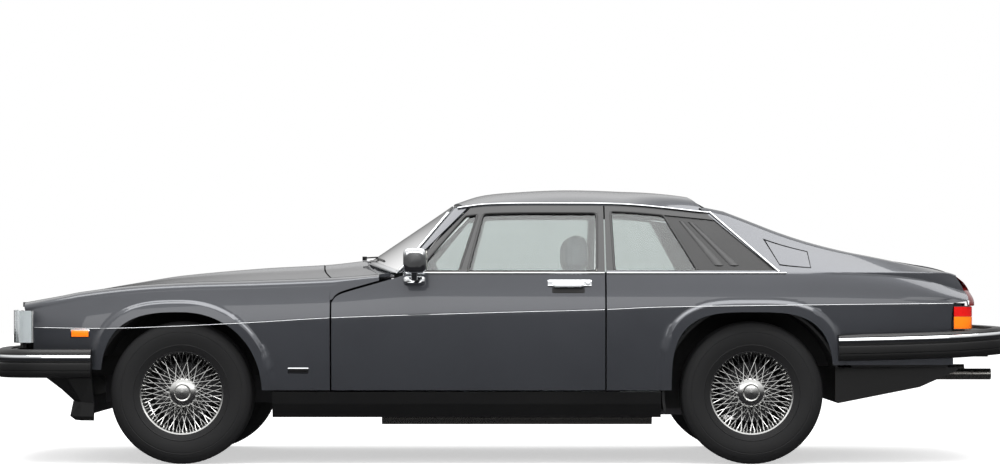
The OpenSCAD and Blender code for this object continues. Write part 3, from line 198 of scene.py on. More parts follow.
def quads(nu, nv, close_u=False, close_v=False):
    """Faces of a grid of nu by nv points, optionally joined end to end."""
    i, j = np.meshgrid(np.arange(nu if close_u else nu - 1), np.arange(nv if close_v else nv - 1),
                       indexing="ij")
    a, b = i * nv + j, ((i + 1) % nu) * nv + j
    c, d = ((i + 1) % nu) * nv + (j + 1) % nv, i * nv + (j + 1) % nv
    return np.stack([a, b, c, d], -1).reshape(-1, 4)


def flip(f):
    """Faces with their corners in the other order, so that they point the other way."""
    return f[:, ::-1]


def shell(name, outer, inner, mat, body, slot=None, keep=None, angle=35, turn=False):
    """Closed sheet between two grids of points (nu, nv, 3): both faces and the edge walls,
    over the cells where keep is true. outer(u, v) and inner(u, v) share their parameters."""
    nu, nv = outer.shape[:2]
    keep = np.ones((nu - 1, nv - 1), bool) if keep is None else keep
    top = quads(nu, nv)[keep.reshape(-1)]
    n = nu * nv
    pad = np.pad(keep, 1)
    walls = []
    for du, dv, pick in ((0, -1, (0, 1)), (1, 0, (1, 2)), (0, 1, (2, 3)), (-1, 0, (3, 0))):
        edge = keep & ~pad[1 + du:nu + du, 1 + dv:nv + dv]
        q = quads(nu, nv)[edge.reshape(-1)]
        a, b = q[:, pick[0]], q[:, pick[1]]
        walls.append(np.stack([a, a + n, b + n, b], -1))
    faces = np.concatenate([top, flip(top) + n, *walls])
    if turn:
        faces = flip(faces)
    return mesh(name, np.concatenate([outer.reshape(-1, 3), inner.reshape(-1, 3)]), faces.tolist(),
                mat, body, slot, angle)


def mirror_y(p):
    """Points with y changed to -y."""
    return p * np.array([1.0, -1.0, 1.0])


def tube(name, grid, mat, body, slot=None, angle=35, closed=False, turn=False):
    """Rings of points (nu, nv, 3) in metres joined into a skin, with flat ends unless joined."""
    nu, nv = grid.shape[:2]
    faces = quads(nu, nv, closed, True)
    faces = (flip(faces) if turn else faces).tolist()
    if not closed:
        ends = [list(range(nv)), [(nu - 1) * nv + k for k in range(nv)]]
        ends[0 if turn else 1].reverse()
        faces += ends
    return mesh(name, grid, faces, mat, body, slot, angle)


def loft(name, grid, mat, body, slot=None, angle=35, turn=False):
    """tube() for rings in millimetres."""
    return tube(name, np.asarray(grid) * MM, mat, body, slot, angle, turn=turn)


def sweep(name, path, section, mat, body, slot=None, up=(0, 0, 1), angle=35, closed=False):
    """Section (m, 2) carried along a path (n, 3): p + section.x * side + section.y * normal,
    where side is the path's direction crossed with up, and normal is square to both."""
    path = np.asarray(path, float)
    t = np.gradient(path, axis=0)
    t /= np.linalg.norm(t, axis=1)[:, None]
    s = np.cross(t, np.asarray(up, float))
    s /= np.linalg.norm(s, axis=1)[:, None]
    n = np.cross(s, t)
    sec = np.broadcast_to(np.asarray(section, float), (len(path),) + np.shape(section)[-2:])
    grid = path[:, None] + sec[..., :1] * s[:, None] + sec[..., 1:] * n[:, None]
    return tube(name, grid, mat, body, slot, angle, closed)


def ring(r, n=12):
    """n points (r cos a, r sin a) round a circle."""
    a = np.linspace(0, 2 * np.pi, n, endpoint=False)
    return np.stack([r * np.cos(a), r * np.sin(a)], -1)


def lathe(name, profile, centre, axis_y, mat, body, slot=None, n=96, angle=30, turn=False):
    """Profile (radius, width) turned about an axis along Y; axis_y is +1 or -1 for outboard."""
    pr = np.asarray(profile, float)
    a = np.linspace(0, 2 * np.pi, n, endpoint=False)[:, None]
    grid = np.stack([centre[0] + pr[:, 0] * np.cos(a), centre[1] + axis_y * pr[:, 1] + 0 * a,
                     centre[2] + pr[:, 0] * np.sin(a)], -1)
    faces = quads(n, len(pr), True, True)
    if (axis_y < 0) != turn:
        faces = flip(faces)
    return mesh(name, grid.reshape(-1, 3), faces.tolist(), mat, body, slot, angle)


def smooth_path(points, n):
    """Catmull-Rom curve through points, n samples in all."""
    p = np.asarray(points, float)
    k = len(p)
    u = np.linspace(0, k - 1, n)
    i = np.minimum(u.astype(int), k - 2)
    t = (u - i)[:, None]
    a, b, c, d = (p[np.clip(i + j, 0, k - 1)] for j in (-1, 0, 1, 2))
    return 0.5 * (2 * b + (c - a) * t + (2 * a - 5 * b + 4 * c - d) * t ** 2
                  + (3 * b - a - 3 * c + d) * t ** 3)


# ---------------------------------------------------------------- body lines, in millimetres
def line(knots, x):
    """Smooth line through knots (x, value): Hermite spans whose slopes join the neighbours."""
    kx, ky = np.array(knots, float).T
    n = len(kx)
    a, b = np.maximum(np.arange(n) - 1, 0), np.minimum(np.arange(n) + 1, n - 1)
    m = (ky[b] - ky[a]) / (kx[b] - kx[a])
    u = np.clip(x, kx[0], kx[-1])
    i = np.clip(np.searchsorted(kx, u, side="right") - 1, 0, n - 2)
    h = kx[i + 1] - kx[i]
    t = (u - kx[i]) / h
    return ((2 * t ** 3 - 3 * t ** 2 + 1) * ky[i] + (t ** 3 - 2 * t ** 2 + t) * h * m[i]
            + (3 * t ** 2 - 2 * t ** 3) * ky[i + 1] + (t ** 3 - t ** 2) * h * m[i + 1])


def mix(a, b, t):
    """a at t = 0, b at t = 1, straight between."""
    return a + (b - a) * t


def soft(t):
    """0 to 1 with level ends."""
    t = np.clip(t, 0, 1)
    return t * t * (3 - 2 * t)


PLAN = [[-2200, 762], [-2080, 812], [-1800, 850], [-1447, 872], [-800, 888], [0, 896],
        [800, 896], [1300, 890], [1700, 874], [2000, 850], [2180, 824]]
CREASE = [[-2170, 622], [-1767, 618], [-1187, 641], [-750, 666], [0, 690], [450, 702],
          [725, 714], [1400, 724], [2065, 731]]
CREST = [[-2176, 732], [-2011, 761], [-1912, 780], [-1676, 808], [-1422, 823], [-1132, 831],
         [-770, 845], [-471, 866], [-300, 872], [1300, 872], [1700, 862], [1900, 838],
         [2080, 780], [2140, 760]]
BONNET = [[-2176, 734], [-1912, 792], [-1676, 834], [-1504, 861], [-1132, 894], [-815, 912],
          [-650, 930]]
ROOF = [[-230, 1192], [-91, 1238], [91, 1257], [317, 1266], [589, 1258], [725, 1247],
        [900, 1222], [965, 1204]]
RAIL = [[-200, 1168], [-60, 1186], [300, 1190], [600, 1184], [969, 1146]]
TAIL = [[940, 1204], [985, 1186], [1049, 1155], [1167, 1101], [1275, 1058], [1412, 1012],
        [1560, 973], [1707, 943], [1884, 905], [2002, 880], [2079, 850], [2129, 800]]
TAIL_Y = [[940, 588], [1049, 612], [1275, 668], [1560, 722], [1800, 748], [2079, 748],
          [2129, 740]]
# The buttress's own top edge, lower than the tail line where it meets the roof
BUTTRESS = [[940, 1172], [985, 1169], [1049, 1148], [1110, 1124]] + TAIL[3:]
LEAN = [[-430, 0.985], [-300, 0.62], [-168, 0.283], [100, 0.1], [476, 0], [700, -0.3],
        [921, -0.6], [1265, -1.153], [1290, -0.55], [1420, -0.12], [1600, 0]]
CUT = [[-764, 735], [-748, 758], [-720, 775], [-600, 811], [-471, 848], [-430, 862]]
BOOT = [[1330, 950], [1560, 958], [1707, 946], [1903, 916], [2002, 893], [2066, 866],
        [2104, 832], [2124, 790], [2138, 746]]
BULGE = [[0, 1], [0.24, 0.97], [0.36, 0.74], [0.42, 0.64], [0.7, 0.34], [1, 0]]
FRONT, REAR, AXLE_Z, ARCH = -1447.0, 1144.0, 325.0, 367.0
BELT, BOTTOM, GAP = 872.0, 338.0, 8.0
TRACK_FRONT, TRACK_REAR = 1488, 1500
FLANK = 45  # rows of points up the body side, below the belt or the rolled crest


def arch_n(axle, x):
    """Power of a wheel arch's outline: squarer in front of the front axle."""
    return np.where(axle < 0, np.where(x < axle, 2.9, 2.1), 3.3)


def arch_z(axle, x):
    """Height of a wheel arch at x, where |x|^n + |z|^n = ARCH^n about the axle."""
    n = arch_n(axle, x)
    d = np.abs(x - axle) / ARCH
    return np.where(d >= 1, AXLE_Z, AXLE_Z + ARCH * np.maximum(1 - d ** n, 0) ** (1 / n))


def arch_x(axle, degrees):
    """x on a wheel arch at an angle: the cosine raised to 2/n, times ARCH."""
    c = np.cos(np.radians(degrees))
    return axle - ARCH * np.sign(c) * np.abs(c) ** (2 / arch_n(axle, axle - np.sign(c)))


def lip(x, z):
    """Raised band round a wheel arch: 14 high and 38 wide, rolled off over the next 16."""
    axle = np.where(x < (FRONT + REAR) / 2, FRONT, REAR)
    n = arch_n(axle, x)
    d = ((np.abs(x - axle) / ARCH) ** n + (np.maximum(z - AXLE_Z, 0) / ARCH) ** n) ** (1 / n) - 1
    return 14 * soft((56 - d * ARCH) / 18)


def side(x, z):
    """Half width of the body side: a crease, leaning in above it and tucked under below it."""
    zc = line(CREASE, x)
    up, down = (z - zc) / (line(CREST, x) - zc), (zc - z) / (zc - 214)
    tuck = np.where(z > zc, 46 * (0.45 * up + 0.55 * up ** 2), 8 * down + 52 * down ** 3)
    return line(PLAN, x) + lip(x, z) - tuck


def glasshouse(z):
    """Half width of the cabin: straight from 846 at the belt to 604, bowed out by 14 t (1 - t)."""
    t = (z - BELT) / (1180 - BELT)
    return mix(846, 604, t) + 14 * t * (1 - t)


def upper_side(x, z):
    """Half width above the belt: the cabin, or the buttress from the belt to the tail line."""
    t = np.clip((z - BELT) / np.maximum(line(TAIL, x) - BELT, 1), 0, 1)
    tail = mix(line(PLAN, x) - 46, line(TAIL_Y, x), t) + 10 * t * (1 - t)
    return np.where(x < 940, glasshouse(z), tail)


def upper(x, z, out=0.0):
    """A point on the glasshouse or buttress, on a leaning column that starts at x on the belt."""
    u = x + line(LEAN, x) * (z - BELT)
    return np.stack(np.broadcast_arrays(u, -upper_side(u, z) - out, z), -1)


def column_top(x, top):
    """Height at which a leaning column that starts at x meets the line top(x)."""
    z = np.full_like(x, BELT)
    for _ in range(8):
        z = top(x + line(LEAN, x) * (z - BELT))
    return z


def low_wing(x):
    """Lower edge of the front wing: the sill, the wheel arch, or the cut line above the door."""
    edge = np.where(x < FRONT, 430.0, BOTTOM)
    arch = np.where(np.abs(x - FRONT) < ARCH, np.maximum(edge, arch_z(FRONT, x)), edge)
    return np.where(x > -772, line(CUT, x) + GAP * 1.3, arch)


def low_quarter(x):
    """Lower edge of the rear quarter: the sill, the wheel arch, or the bumper line."""
    edge = np.where(x < REAR, BOTTOM, 452.0)
    return np.where(np.abs(x - REAR) < ARCH, np.maximum(edge, arch_z(REAR, x)), edge)


def wing_edge(x):
    """Half width at which the wing's rolled crest ends, 70 in from the side."""
    top = line(CREST, x)
    h = np.minimum(35, 0.45 * (top - low_wing(x)))
    return side(x, top - h) - 70


# ---------------------------------------------------------------- painted panels
def wing():
    """Front wing: rows up the side at y = -side(x, z), then a rolled crest to the bonnet gap."""
    x = np.concatenate([np.linspace(-2176, FRONT - ARCH, 30)[:-1], arch_x(FRONT, np.linspace(0, 180, 90)),
                        np.linspace(FRONT + ARCH, -772, 22)[1:], np.linspace(-770.5, -550, 22)])[:, None]
    low, top = low_wing(x), line(CREST, x)
    h = np.minimum(35, 0.45 * (top - low))
    s = top - h
    mid = np.minimum(np.maximum(line(CREASE, x), low + 40), mix(low, s, 0.75))
    z = np.concatenate([mix(low, mid, np.linspace(0, 1, 30)), mix(mid, s, np.linspace(0, 1, 16)[1:])], 1)
    flank = np.stack(np.broadcast_arrays(x, -side(x, z), z), -1)
    y = side(x, s)
    knots = np.stack([np.concatenate([-y, -y + 9, -y + 38, -y + 70], 1),
                      np.concatenate([s, s + 0.64 * h, top, top + 3], 1)], -1)
    t = np.linspace(0, 3, 19)[1:]
    i = np.minimum(t.astype(int), 2)
    f = (t - i)[None, :, None]
    k = np.concatenate([knots[:, :1] - (knots[:, 1:2] - knots[:, :1]) * [[0.1, 1]], knots,
                        knots[:, -1:] * 2 - knots[:, -2:-1]], 1)
    a, b, c, d = k[:, i], k[:, i + 1], k[:, i + 2], k[:, i + 3]
    roll = 0.5 * (2 * b + (c - a) * f + (2 * a - 5 * b + 4 * c - d) * f ** 2
                  + (3 * b - a - 3 * c + d) * f ** 3)
    crest = np.concatenate([np.broadcast_to(x[:, None], roll.shape[:2] + (1,)), roll], -1)
    out = np.concatenate([flank, crest], 1)
    nose = line([[430, -2132], [634, -2134], [702, -2172], [760, -2176]], out[0, :, 2])
    pull = (1 - np.linspace(0, 1, 30)) ** 3
    out[:30, :, 0] += pull[:, None] * (nose + 2176)[None]
    turn = np.linspace(0, 1, out.shape[1] - FLANK + 1)
    inward = np.zeros_like(out)
    inward[:, :FLANK, 1] = 12
    inward[:, FLANK - 1:, 1] = 12 * (1 - turn)
    inward[:, FLANK - 1:, 2] = -12 * turn ** 0.6
    return out * MM, (out + inward) * MM


def door_skin():
    """Door below the glass: y = -side(x, z) from the sill to the belt, or to the cut line."""
    x = np.concatenate([np.linspace(-764, -430, 44), np.linspace(-430, 476, 50)[1:]])[:, None]
    top = np.where(x < -430, line(CUT, x), BELT)
    mid = np.minimum(line(CREASE, x), mix(BOTTOM, top, 0.8))
    z = np.concatenate([mix(BOTTOM, mid, np.linspace(0, 1, 22)),
                        mix(mid, top, np.linspace(0, 1, 18)[1:])], 1)
    out = np.stack(np.broadcast_arrays(x, -side(x, z), z), -1)
    return out * MM, (out + [0, 30, 0]) * MM, (out + [0, 30.3, 0]) * MM, (out + [0, 84, 0]) * MM


# Filler flap: first and last column, and its lower and upper share of the buttress
FLAP = (1290.0, 1418.0, 0.14, 0.68)


def quarter(flap):
    """Rear quarter and buttress: rows up the side, then leaning columns to the tail line."""
    x = np.concatenate([np.linspace(484, REAR - ARCH, 20)[:-1], arch_x(REAR, np.linspace(0, 88, 44)),
                        np.linspace(1175, 1265, 6), np.linspace(1271, 1290, 4), np.linspace(1297, 1411, 16),
                        np.linspace(1418, 1424, 2), arch_x(REAR, np.linspace(139, 180, 22)),
                        np.linspace(REAR + ARCH + 6, 2060, 44)])[:, None]
    low, b = low_quarter(x), np.minimum(BELT, line(CREST, x))
    mid = np.minimum(np.maximum(line(CREASE, x), low + 40), mix(low, b, 0.8))
    z = np.concatenate([mix(low, mid, np.linspace(0, 1, 30)), mix(mid, b, np.linspace(0, 1, 16)[1:])], 1)
    flank = np.stack(np.broadcast_arrays(x, -side(x, z), z), -1)
    top = column_top(x, lambda u: line(BUTTRESS, u))
    s = np.concatenate([np.linspace(0, FLAP[2], 6)[1:], np.linspace(FLAP[2], FLAP[3], 18)[1:],
                        np.linspace(FLAP[3], 0.9, 10)[1:], [0.93, 0.96, 0.98, 1.0]])[None]
    up = upper(x, b + s * (top - b))
    up[..., 1] += 14 * np.clip((s - 0.9) / 0.1, 0, 1) ** 2
    step = upper(x, b)[..., 1] + side(x, b)
    up[..., 1] -= step * np.maximum(1 - s * 4, 0) ** 2
    out = np.concatenate([flank, up], 1)
    edge = line([[452, 2060], [732, 2060], [742, 2124], [800, 2108], [850, 2078]], out[-1, :, 2])
    pull = np.zeros(len(x))
    pull[-44:] = np.linspace(0, 1, 44) ** 3
    out[..., 0] += pull[:, None] * (edge - 2060)[None]
    nu, nv = out.shape[:2]
    col, row = np.meshgrid(x[:-1, 0] + 0.01, np.arange(nv - 1), indexing="ij")
    keep = (row < FLANK) | (col > 1264.9)
    if flap:
        keep &= ~((col > FLAP[0]) & (col < FLAP[1]) & (row >= FLANK + 4) & (row < FLANK + 21))
    t = (np.arange(nv) - 34) / 11
    return out * MM, (out + np.stack([0 * t, mix(22, 56, soft(t)), 0 * t], -1)) * MM, keep


def roof_rear(t):
    """x of the roof's rear edge: 862 at the middle, 946 at the sides, as t^8."""
    return mix(862, 946, t ** 8) - 0.4


def roof_at(x, t):
    """Roof skin: crowned across as top - (top - edge) |t|^p, squarer (p from 3.4 to 12) at the rear."""
    top, edge = line(ROOF, x), line(RAIL, x) + 6
    power = 3.4 + 8.6 * soft((x - 560) / 386)
    return np.stack(np.broadcast_arrays(x, t * 602, top - (top - edge) * np.abs(t) ** power), -1)


def bonnet_z(x, t):
    """Bonnet height: from the wing's edge to the middle line, by the BULGE profile of |t|."""
    edge = line(CREST, x) + 4
    return edge + (line(BONNET, x) - edge) * line(BULGE, np.abs(t))


def bonnet_rear(t):
    """x of the bonnet's rear edge, bowed back as t squared."""
    return -838 + 62 * t ** 2


def pillar_front(z):
    """x of the pillar's front edge, straight in z."""
    return mix(-463, -232, (z - 866) / 284)


def screen(t, v, lift=0.0):
    """Windscreen: edges on the pillars, middle bowed forward as t squared."""
    z = mix(872, 1158, v)
    ex = pillar_front(z) - 7
    mx, mz, y = mix(-622, -226, v), mix(926, 1192, v), glasshouse(z) - 14
    return np.stack(np.broadcast_arrays(mix(mx, ex, t ** 2) - 0.55 * lift,
                                        y * t * (1 + 0.02 * (1 - t ** 2)),
                                        mix(mz, z, t ** 2) + 0.83 * lift), -1)


def inner_side(x, z):
    """Half width inside the upper panels."""
    return upper_side(x, z) - 58.4


def back_glass(t, v):
    """Rear window: from the deck up to the roof's edge, between the buttresses."""
    r = t * (inner_side(864.0, 1190.0) - 1) / 602
    tx = roof_rear(np.abs(r)) + 1
    x = mix(1330, tx, v)
    z = mix(952, roof_at(tx, r)[..., 2] - 4, v)
    return np.stack(np.broadcast_arrays(x - 18 * (1 - t ** 2) * (1 - v), t * (inner_side(x, z) - 1),
                                        z + 40 * (1 - t ** 2) * v * (1 - v)), -1)


def level(name, out, mat, body, slot, thick=12.0, node=None, **kw):
    """Panel of a given thickness, measured straight down, under a grid in millimetres."""
    o = shell(name, out * MM, (out - [0, 0, thick]) * MM, mat, body, slot, **kw)
    if node:
        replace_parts(o, node)
    return o


def twin(o):
    """Mirror image of a left piece, riding on the right-hand body."""
    me = o.data.copy()
    co = np.empty(len(me.vertices) * 3)
    me.vertices.foreach_get("co", co)
    co[1::3] *= -1
    me.vertices.foreach_set("co", co)
    me.flip_normals()
    me.update()
    right = bpy.data.objects.new(o.name.replace("_left", "_right"), me)
    bpy.context.scene.collection.objects.link(right)
    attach(right, o["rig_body"].replace("_left", "_right"))
    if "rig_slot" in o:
        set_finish(right, o["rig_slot"])
    for old in list(o.get("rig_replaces", [])):
        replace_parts(right, old.replace("_left", "_right"))
    return right


def stand_for(node, *objs):
    """Marks each piece as shown in place of a CAD node; gives the first one back."""
    for o in objs:
        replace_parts(o, node)
    return objs[0]


# Front wings, bonnet, scuttle
o = shell("front_wing_left", *wing(), PAINT, "body", "body_paint")
stand_for("front_wings", o)
twin(o)
t = np.linspace(-1, 1, 121)[None]
s = np.linspace(0, 1, 90)[:, None]
x = mix(-2176 - 88 * (1 - t ** 2), bonnet_rear(t), s)
grid = np.stack([x, t * (wing_edge(x) - GAP), bonnet_z(x, t)], -1)
level("bonnet_panel", grid, PAINT, "bonnet", "body_paint", 22, "bonnet")
x = mix(bonnet_rear(t) + GAP, np.minimum(screen(t, 0.0)[..., 0] - 6, -502), np.linspace(0, 1, 16)[:, None])
grid = np.stack([x, t * (wing_edge(x) - 1.5), bonnet_z(x, t) - 0.4], -1)
level("scuttle_panel", grid, PAINT, "body", "body_paint", 14, "scuttle")

# Roof skin and the pillars beside the windscreen
x = mix(-222 + 50 * t ** 2, roof_rear(t), np.linspace(0, 1, 70)[:, None])
grid = roof_at(x, t)
level("roof_skin", grid, PAINT, "body", "body_paint", 14, "roof")
z = np.linspace(872.5, 1171, 26)
f, r, y = pillar_front(z), -430 + 0.985 * (z - BELT) - 12, -glasshouse(z)
grid = np.stack([np.stack([a, b, z], -1) for a, b in
                 ((r, y + 8), (r - 4, y + 1), ((f + r) / 2, y), (f + 9, y + 2), (f + 2, y + 7),
                  (f, y + 14), (f + 6, y + 46), (r, y + 46))], 1)
pillar = loft("screen_pillar_left", grid, PAINT, "body", "body_paint")
stand_for("roof", pillar)
twin(pillar)

# Doors: painted skin, leather card behind it, and the frame round the windows
skin, skin_in, card, card_in = door_skin()
o = shell("door_skin_left", skin, skin_in, PAINT, "door_left", "body_paint")
stand_for("door_left", o)
twin(o)
o = shell("door_card_left", card, card_in, LEATHER, "door_left", "leather")
stand_for("door_left", o)
twin(o)
x = np.concatenate([np.linspace(-430, -382, 6), np.linspace(-370, -192, 10), np.linspace(-185, -151, 4),
                    np.linspace(-140, 430, 26), np.linspace(442, 476, 4)])[:, None]
top = column_top(x, lambda u: line(RAIL, u) - 8)
z = np.concatenate([mix(874, top - 34, np.linspace(0, 1, 16)),
                    mix(top - 34, top, np.linspace(0, 1, 5)[1:])], 1)
out = upper(x, z)
col, row = np.meshgrid(x[:-1, 0], np.arange(z.shape[1] - 1), indexing="ij")
keep = (col < -383) | ((col > -186) & (col < -152)) | (col > 441) | (row >= 15)
o = shell("door_frame_left", out * MM, (out + [0, 22, 0]) * MM, SATIN, "door_left", "body_paint", keep)
stand_for("door_left", o)
twin(o)


def pane(x0, x1, z0, top, deep, thick, n=24):
    """Two grids of a flat pane between columns x0 and x1, from z0 up to top(x)."""
    px = np.linspace(x0, x1, n)[:, None]
    pz = mix(z0, column_top(px, top), np.linspace(0, 1, 12)[None])
    p = upper(px, pz)
    return (p + [0, deep, 0]) * MM, (p + [0, deep + thick, 0]) * MM


def door_top(u):
    """Top of the door's glass, below the rail line."""
    return line(RAIL, u) - 42.5


def quarter_top(u):
    """Top of the quarter's glass, below the rail line."""
    return line(RAIL, u) - 34.8


for name, x0, x1 in (("door_vent_glass_left", -381.6, -185.4), ("door_main_glass_left", -150.6, 441.6)):
    o = shell(name, *pane(x0, x1, 874.4, door_top, 8.5, 5), GLASS, "door_left", "glass")
    stand_for("door_glass_left", o)
    twin(o)
o = shell("quarter_glass_left", *pane(518.4, 905, 872.4, quarter_top, 5, 5), GLASS, "body", "glass")
stand_for("fixed_windows", o)
twin(o)
t = np.linspace(-1, 1, 61)[None]
v = np.linspace(0, 1, 24)[:, None]
grid = screen(t, v)
o = shell("windscreen", grid[:, ::-1] * MM, (grid[:, ::-1] + [2.7, 0, -4.1]) * MM, GLASS, "body", "glass")
stand_for("fixed_windows", o)
level("rear_window", back_glass(t, 1 - v), GLASS, "body", "glass", 5.5, "fixed_windows")

# Rear quarters with the buttresses, the strip round the quarter window, and the filler pocket
for flap in (True, False):
    out, inn, keep = quarter(flap)
    if flap:
        o = shell("rear_quarter_left", out, inn, PAINT, "body", "body_paint", keep)
    else:
        o = shell("rear_quarter_right", mirror_y(out), mirror_y(inn), PAINT, "body", "body_paint", keep,
                  turn=True)
    stand_for("rear_quarters", o)
x = np.concatenate([np.linspace(484, 518, 4), np.linspace(535, 1265, 30)])[:, None]
top = column_top(x, lambda u: line(RAIL, u) - 0.4)
z = np.concatenate([mix(BELT, top - 34, np.linspace(0, 1, 14)),
                    mix(top - 34, top, np.linspace(0, 1, 5)[1:])], 1)
out = upper(x, z)
col, row = np.meshgrid(x[:-1, 0], np.arange(z.shape[1] - 1), indexing="ij")
o = shell("quarter_frame_left", out * MM, (out + [0, 24, 0]) * MM, SATIN, "body", "body_paint",
          (col < 517) | (row >= 13))
stand_for("rear_quarters", o)
twin(o)


def buttress(x, s):
    """Point of the left buttress: column x, a share s of the way up to the tail line."""
    x = np.asarray(x, float)
    b = np.minimum(BELT, line(CREST, x))
    top = column_top(x, lambda u: line(TAIL, u))
    return upper(x, b + s * (top - b))


x = np.linspace(FLAP[0] + 0.4, FLAP[1] - 0.4, 8)[:, None]
s = np.linspace(FLAP[2], FLAP[3], 8)[None]
p = buttress(x, s)
o = shell("filler_wall", (p + [0, 46, 0]) * MM, (p + [0, 56, 0]) * MM, SATIN, "body", "body_paint")
stand_for("rear_quarters", o)
mid = buttress(1352.0, 0.42)
cap = np.array([[0, 0], [26, 0], [27, 3], [27, 15], [24, 18], [9, 18], [7, 25], [0, 25]])
lathe("filler_cap", cap * MM, (mid + [0, 45, 0]) * MM, -1, CHROME, "body", "chrome", 48)
x = np.linspace(FLAP[0] + 3.4, FLAP[1] - 3.4, 20)[:, None]
s = np.linspace(FLAP[2] + 0.03, FLAP[3] - 0.03, 16)[None]
p = buttress(x, s)
o = shell("fuel_flap_panel", p * MM, (p + [0, 5, 0]) * MM, PAINT, "fuel_flap", "body_paint")
stand_for("fuel_flap", o)

# Deck under the rear window, boot lid
t = np.linspace(-1, 1, 81)[None]
x = mix(back_glass(t, 0.0)[..., 0] + 0.8, 1552, np.linspace(0, 1, 16)[:, None])
bz = line(BOOT, x)
grid = np.stack([x, t * (inner_side(x, bz) - 1), bz - 6 * t ** 2], -1)
level("rear_deck_panel", grid, PAINT, "body", "body_paint", 14, "rear_deck")
i = np.linspace(0, 11, 78)[:, None]
x = np.interp(i, np.arange(12), [1560, 1640, 1720, 1800, 1880, 1950, 2010, 2060, 2095, 2118, 2132, 2140])
bz = line(BOOT, x)
y = inner_side(x, np.maximum(bz, 905)) - GAP - 12 * np.clip(1 - i / 3, 0, 1)
grid = np.stack(np.broadcast_arrays(x, t * y, bz - 8 * t ** 2 * np.clip((2100 - x) / 200, 0, 1)), -1)
turn = np.clip((x - 2050) / 60, 0, 1)
inner = grid + np.stack(np.broadcast_arrays(-20 * turn, 0 * t * turn, -20 * (1 - 0.85 * turn)), -1)
o = shell("boot_lid_panel", grid * MM, inner * MM, PAINT, "boot_lid", "body_paint")
stand_for("boot_lid", o)


# ---------------------------------------------------------------- bumpers, lamps and bright trim
def heading(path):
    """Unit vectors pointing out of the car, level, for a path in plan."""
    t = np.gradient(path[:, :2], axis=0)
    t /= np.linalg.norm(t, axis=1)[:, None]
    n = np.stack([-t[:, 1], t[:, 0]], -1)
    return n if path[len(path) // 2, 0] < 0 else -n


def belt_along(name, path, section, mat, slot, depth=None, node=None, angle=30):
    """Section (out, height) carried along a plan path; out below -900 means the local depth."""
    n = heading(path)
    sec = np.broadcast_to(np.asarray(section, float), (len(path),) + np.shape(section)[-2:]).copy()
    if depth is not None:
        sec[..., 0] = np.where(sec[..., 0] < -900, -depth[:, None], sec[..., 0])
    xy = path[:, None, :2] + sec[..., :1] * n[:, None]
    grid = np.concatenate([xy, sec[..., 1:] + path[:, None, 2:]], -1)
    o = loft(name, grid, mat, "body", slot, angle, turn=path[len(path) // 2, 0] < 0)
    if node:
        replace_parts(o, node)
    return o


def mirrored(points):
    """Points of the left half, followed by their mirror images in reverse."""
    p = np.array([list(q) + [0] * (3 - len(q)) for q in points], float)
    return np.concatenate([p, (p * [1, -1, 1])[-2::-1]])


def dense(points, n=161):
    """Smooth path through points, evenly spaced by length."""
    p = smooth_path(points, 900)
    d = np.concatenate([[0], np.cumsum(np.linalg.norm(np.diff(p, axis=0), axis=1))])
    at = np.linspace(0, d[-1], n)
    return np.stack([np.interp(at, d, p[:, k]) for k in range(3)], -1)


FRONT_BAR = dense(mirrored([(-1853, -906), (-2060, -900), (-2165, -880), (-2240, -836), (-2296, -740),
                            (-2340, -520), (-2368, -260), (-2378, 0)]))
REAR_BAR = dense(mirrored([(1533, -905, 0), (1800, -900, 6), (2050, -884, 14), (2190, -852, 22),
                           (2285, -780, 28), (2336, -640, 30), (2368, -350, 30), (2378, 0, 30)]))
NOSE = dense(mirrored([(-2136, -786), (-2186, -766), (-2212, -732), (-2238, -650), (-2257, -478),
                       (-2268, -240), (-2272, 0)]))
TAIL_EDGE = dense(mirrored([(2063, -838), (2112, -830), (2144, -804), (2156, -740), (2162, -500),
                            (2166, -240), (2168, 0)]))


def spread(path, values):
    """Depths given at the left half's points, spread along the whole path."""
    k = len(values)
    u = np.abs(np.linspace(-1, 1, len(path)))
    return np.interp(1 - u, np.linspace(0, 1, k), values)


for bar, low, up, deep, node, z0 in (
        (FRONT_BAR, 394, 522, [46, 60, 70, 70, 70, 70, 70, 70], "front_bumper", 469),
        (REAR_BAR, 470, 590, [12, 28, 34, 42, 70, 76, 76, 76], "rear_bumper", 546)):
    back = -1000
    rubber = [(back, low), (-16, low), (-6, low + 4), (0, low + 14), (2, low + 26), (2, low + 30),
              (-1, low + 32), (2, low + 34), (4, z0 - 16), (3, z0 - 10), (-4, z0 - 4), (-5, z0 + 32),
              (-8, up - 12), (-14, up - 4), (-20, up), (back, up)]
    belt_along(node + "_rubber", bar, rubber, RUBBER, "rubber_trim", spread(bar, deep), node, 24)
    a = np.radians(np.linspace(-90, 90, 13))
    blade = [(-4, z0)] + [(-3 + 8 * math.cos(k), z0 + 14.5 + 14 * math.sin(k)) for k in a] + [(-4, z0 + 29)]
    belt_along(node + "_chrome_blade", bar, blade, CHROME, "chrome", None, node, 60)

def lamp_part(name, path, pick, low, high, back, front, mat, slot, node, turn=False):
    """Block carried along part of an end panel's path, from back to front out of it."""
    part, out = path[pick], heading(path)[pick]
    sec = np.array([(back, low), (front, low), (front, high), (back, high)], float)
    grid = np.concatenate([part[:, None, :2] + sec[None, :, :1] * out[:, None],
                           np.broadcast_to(sec[None, :, 1:], (len(part), 4, 1))], -1)
    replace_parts(loft(name, grid, mat, "body", slot, 30, turn), node)


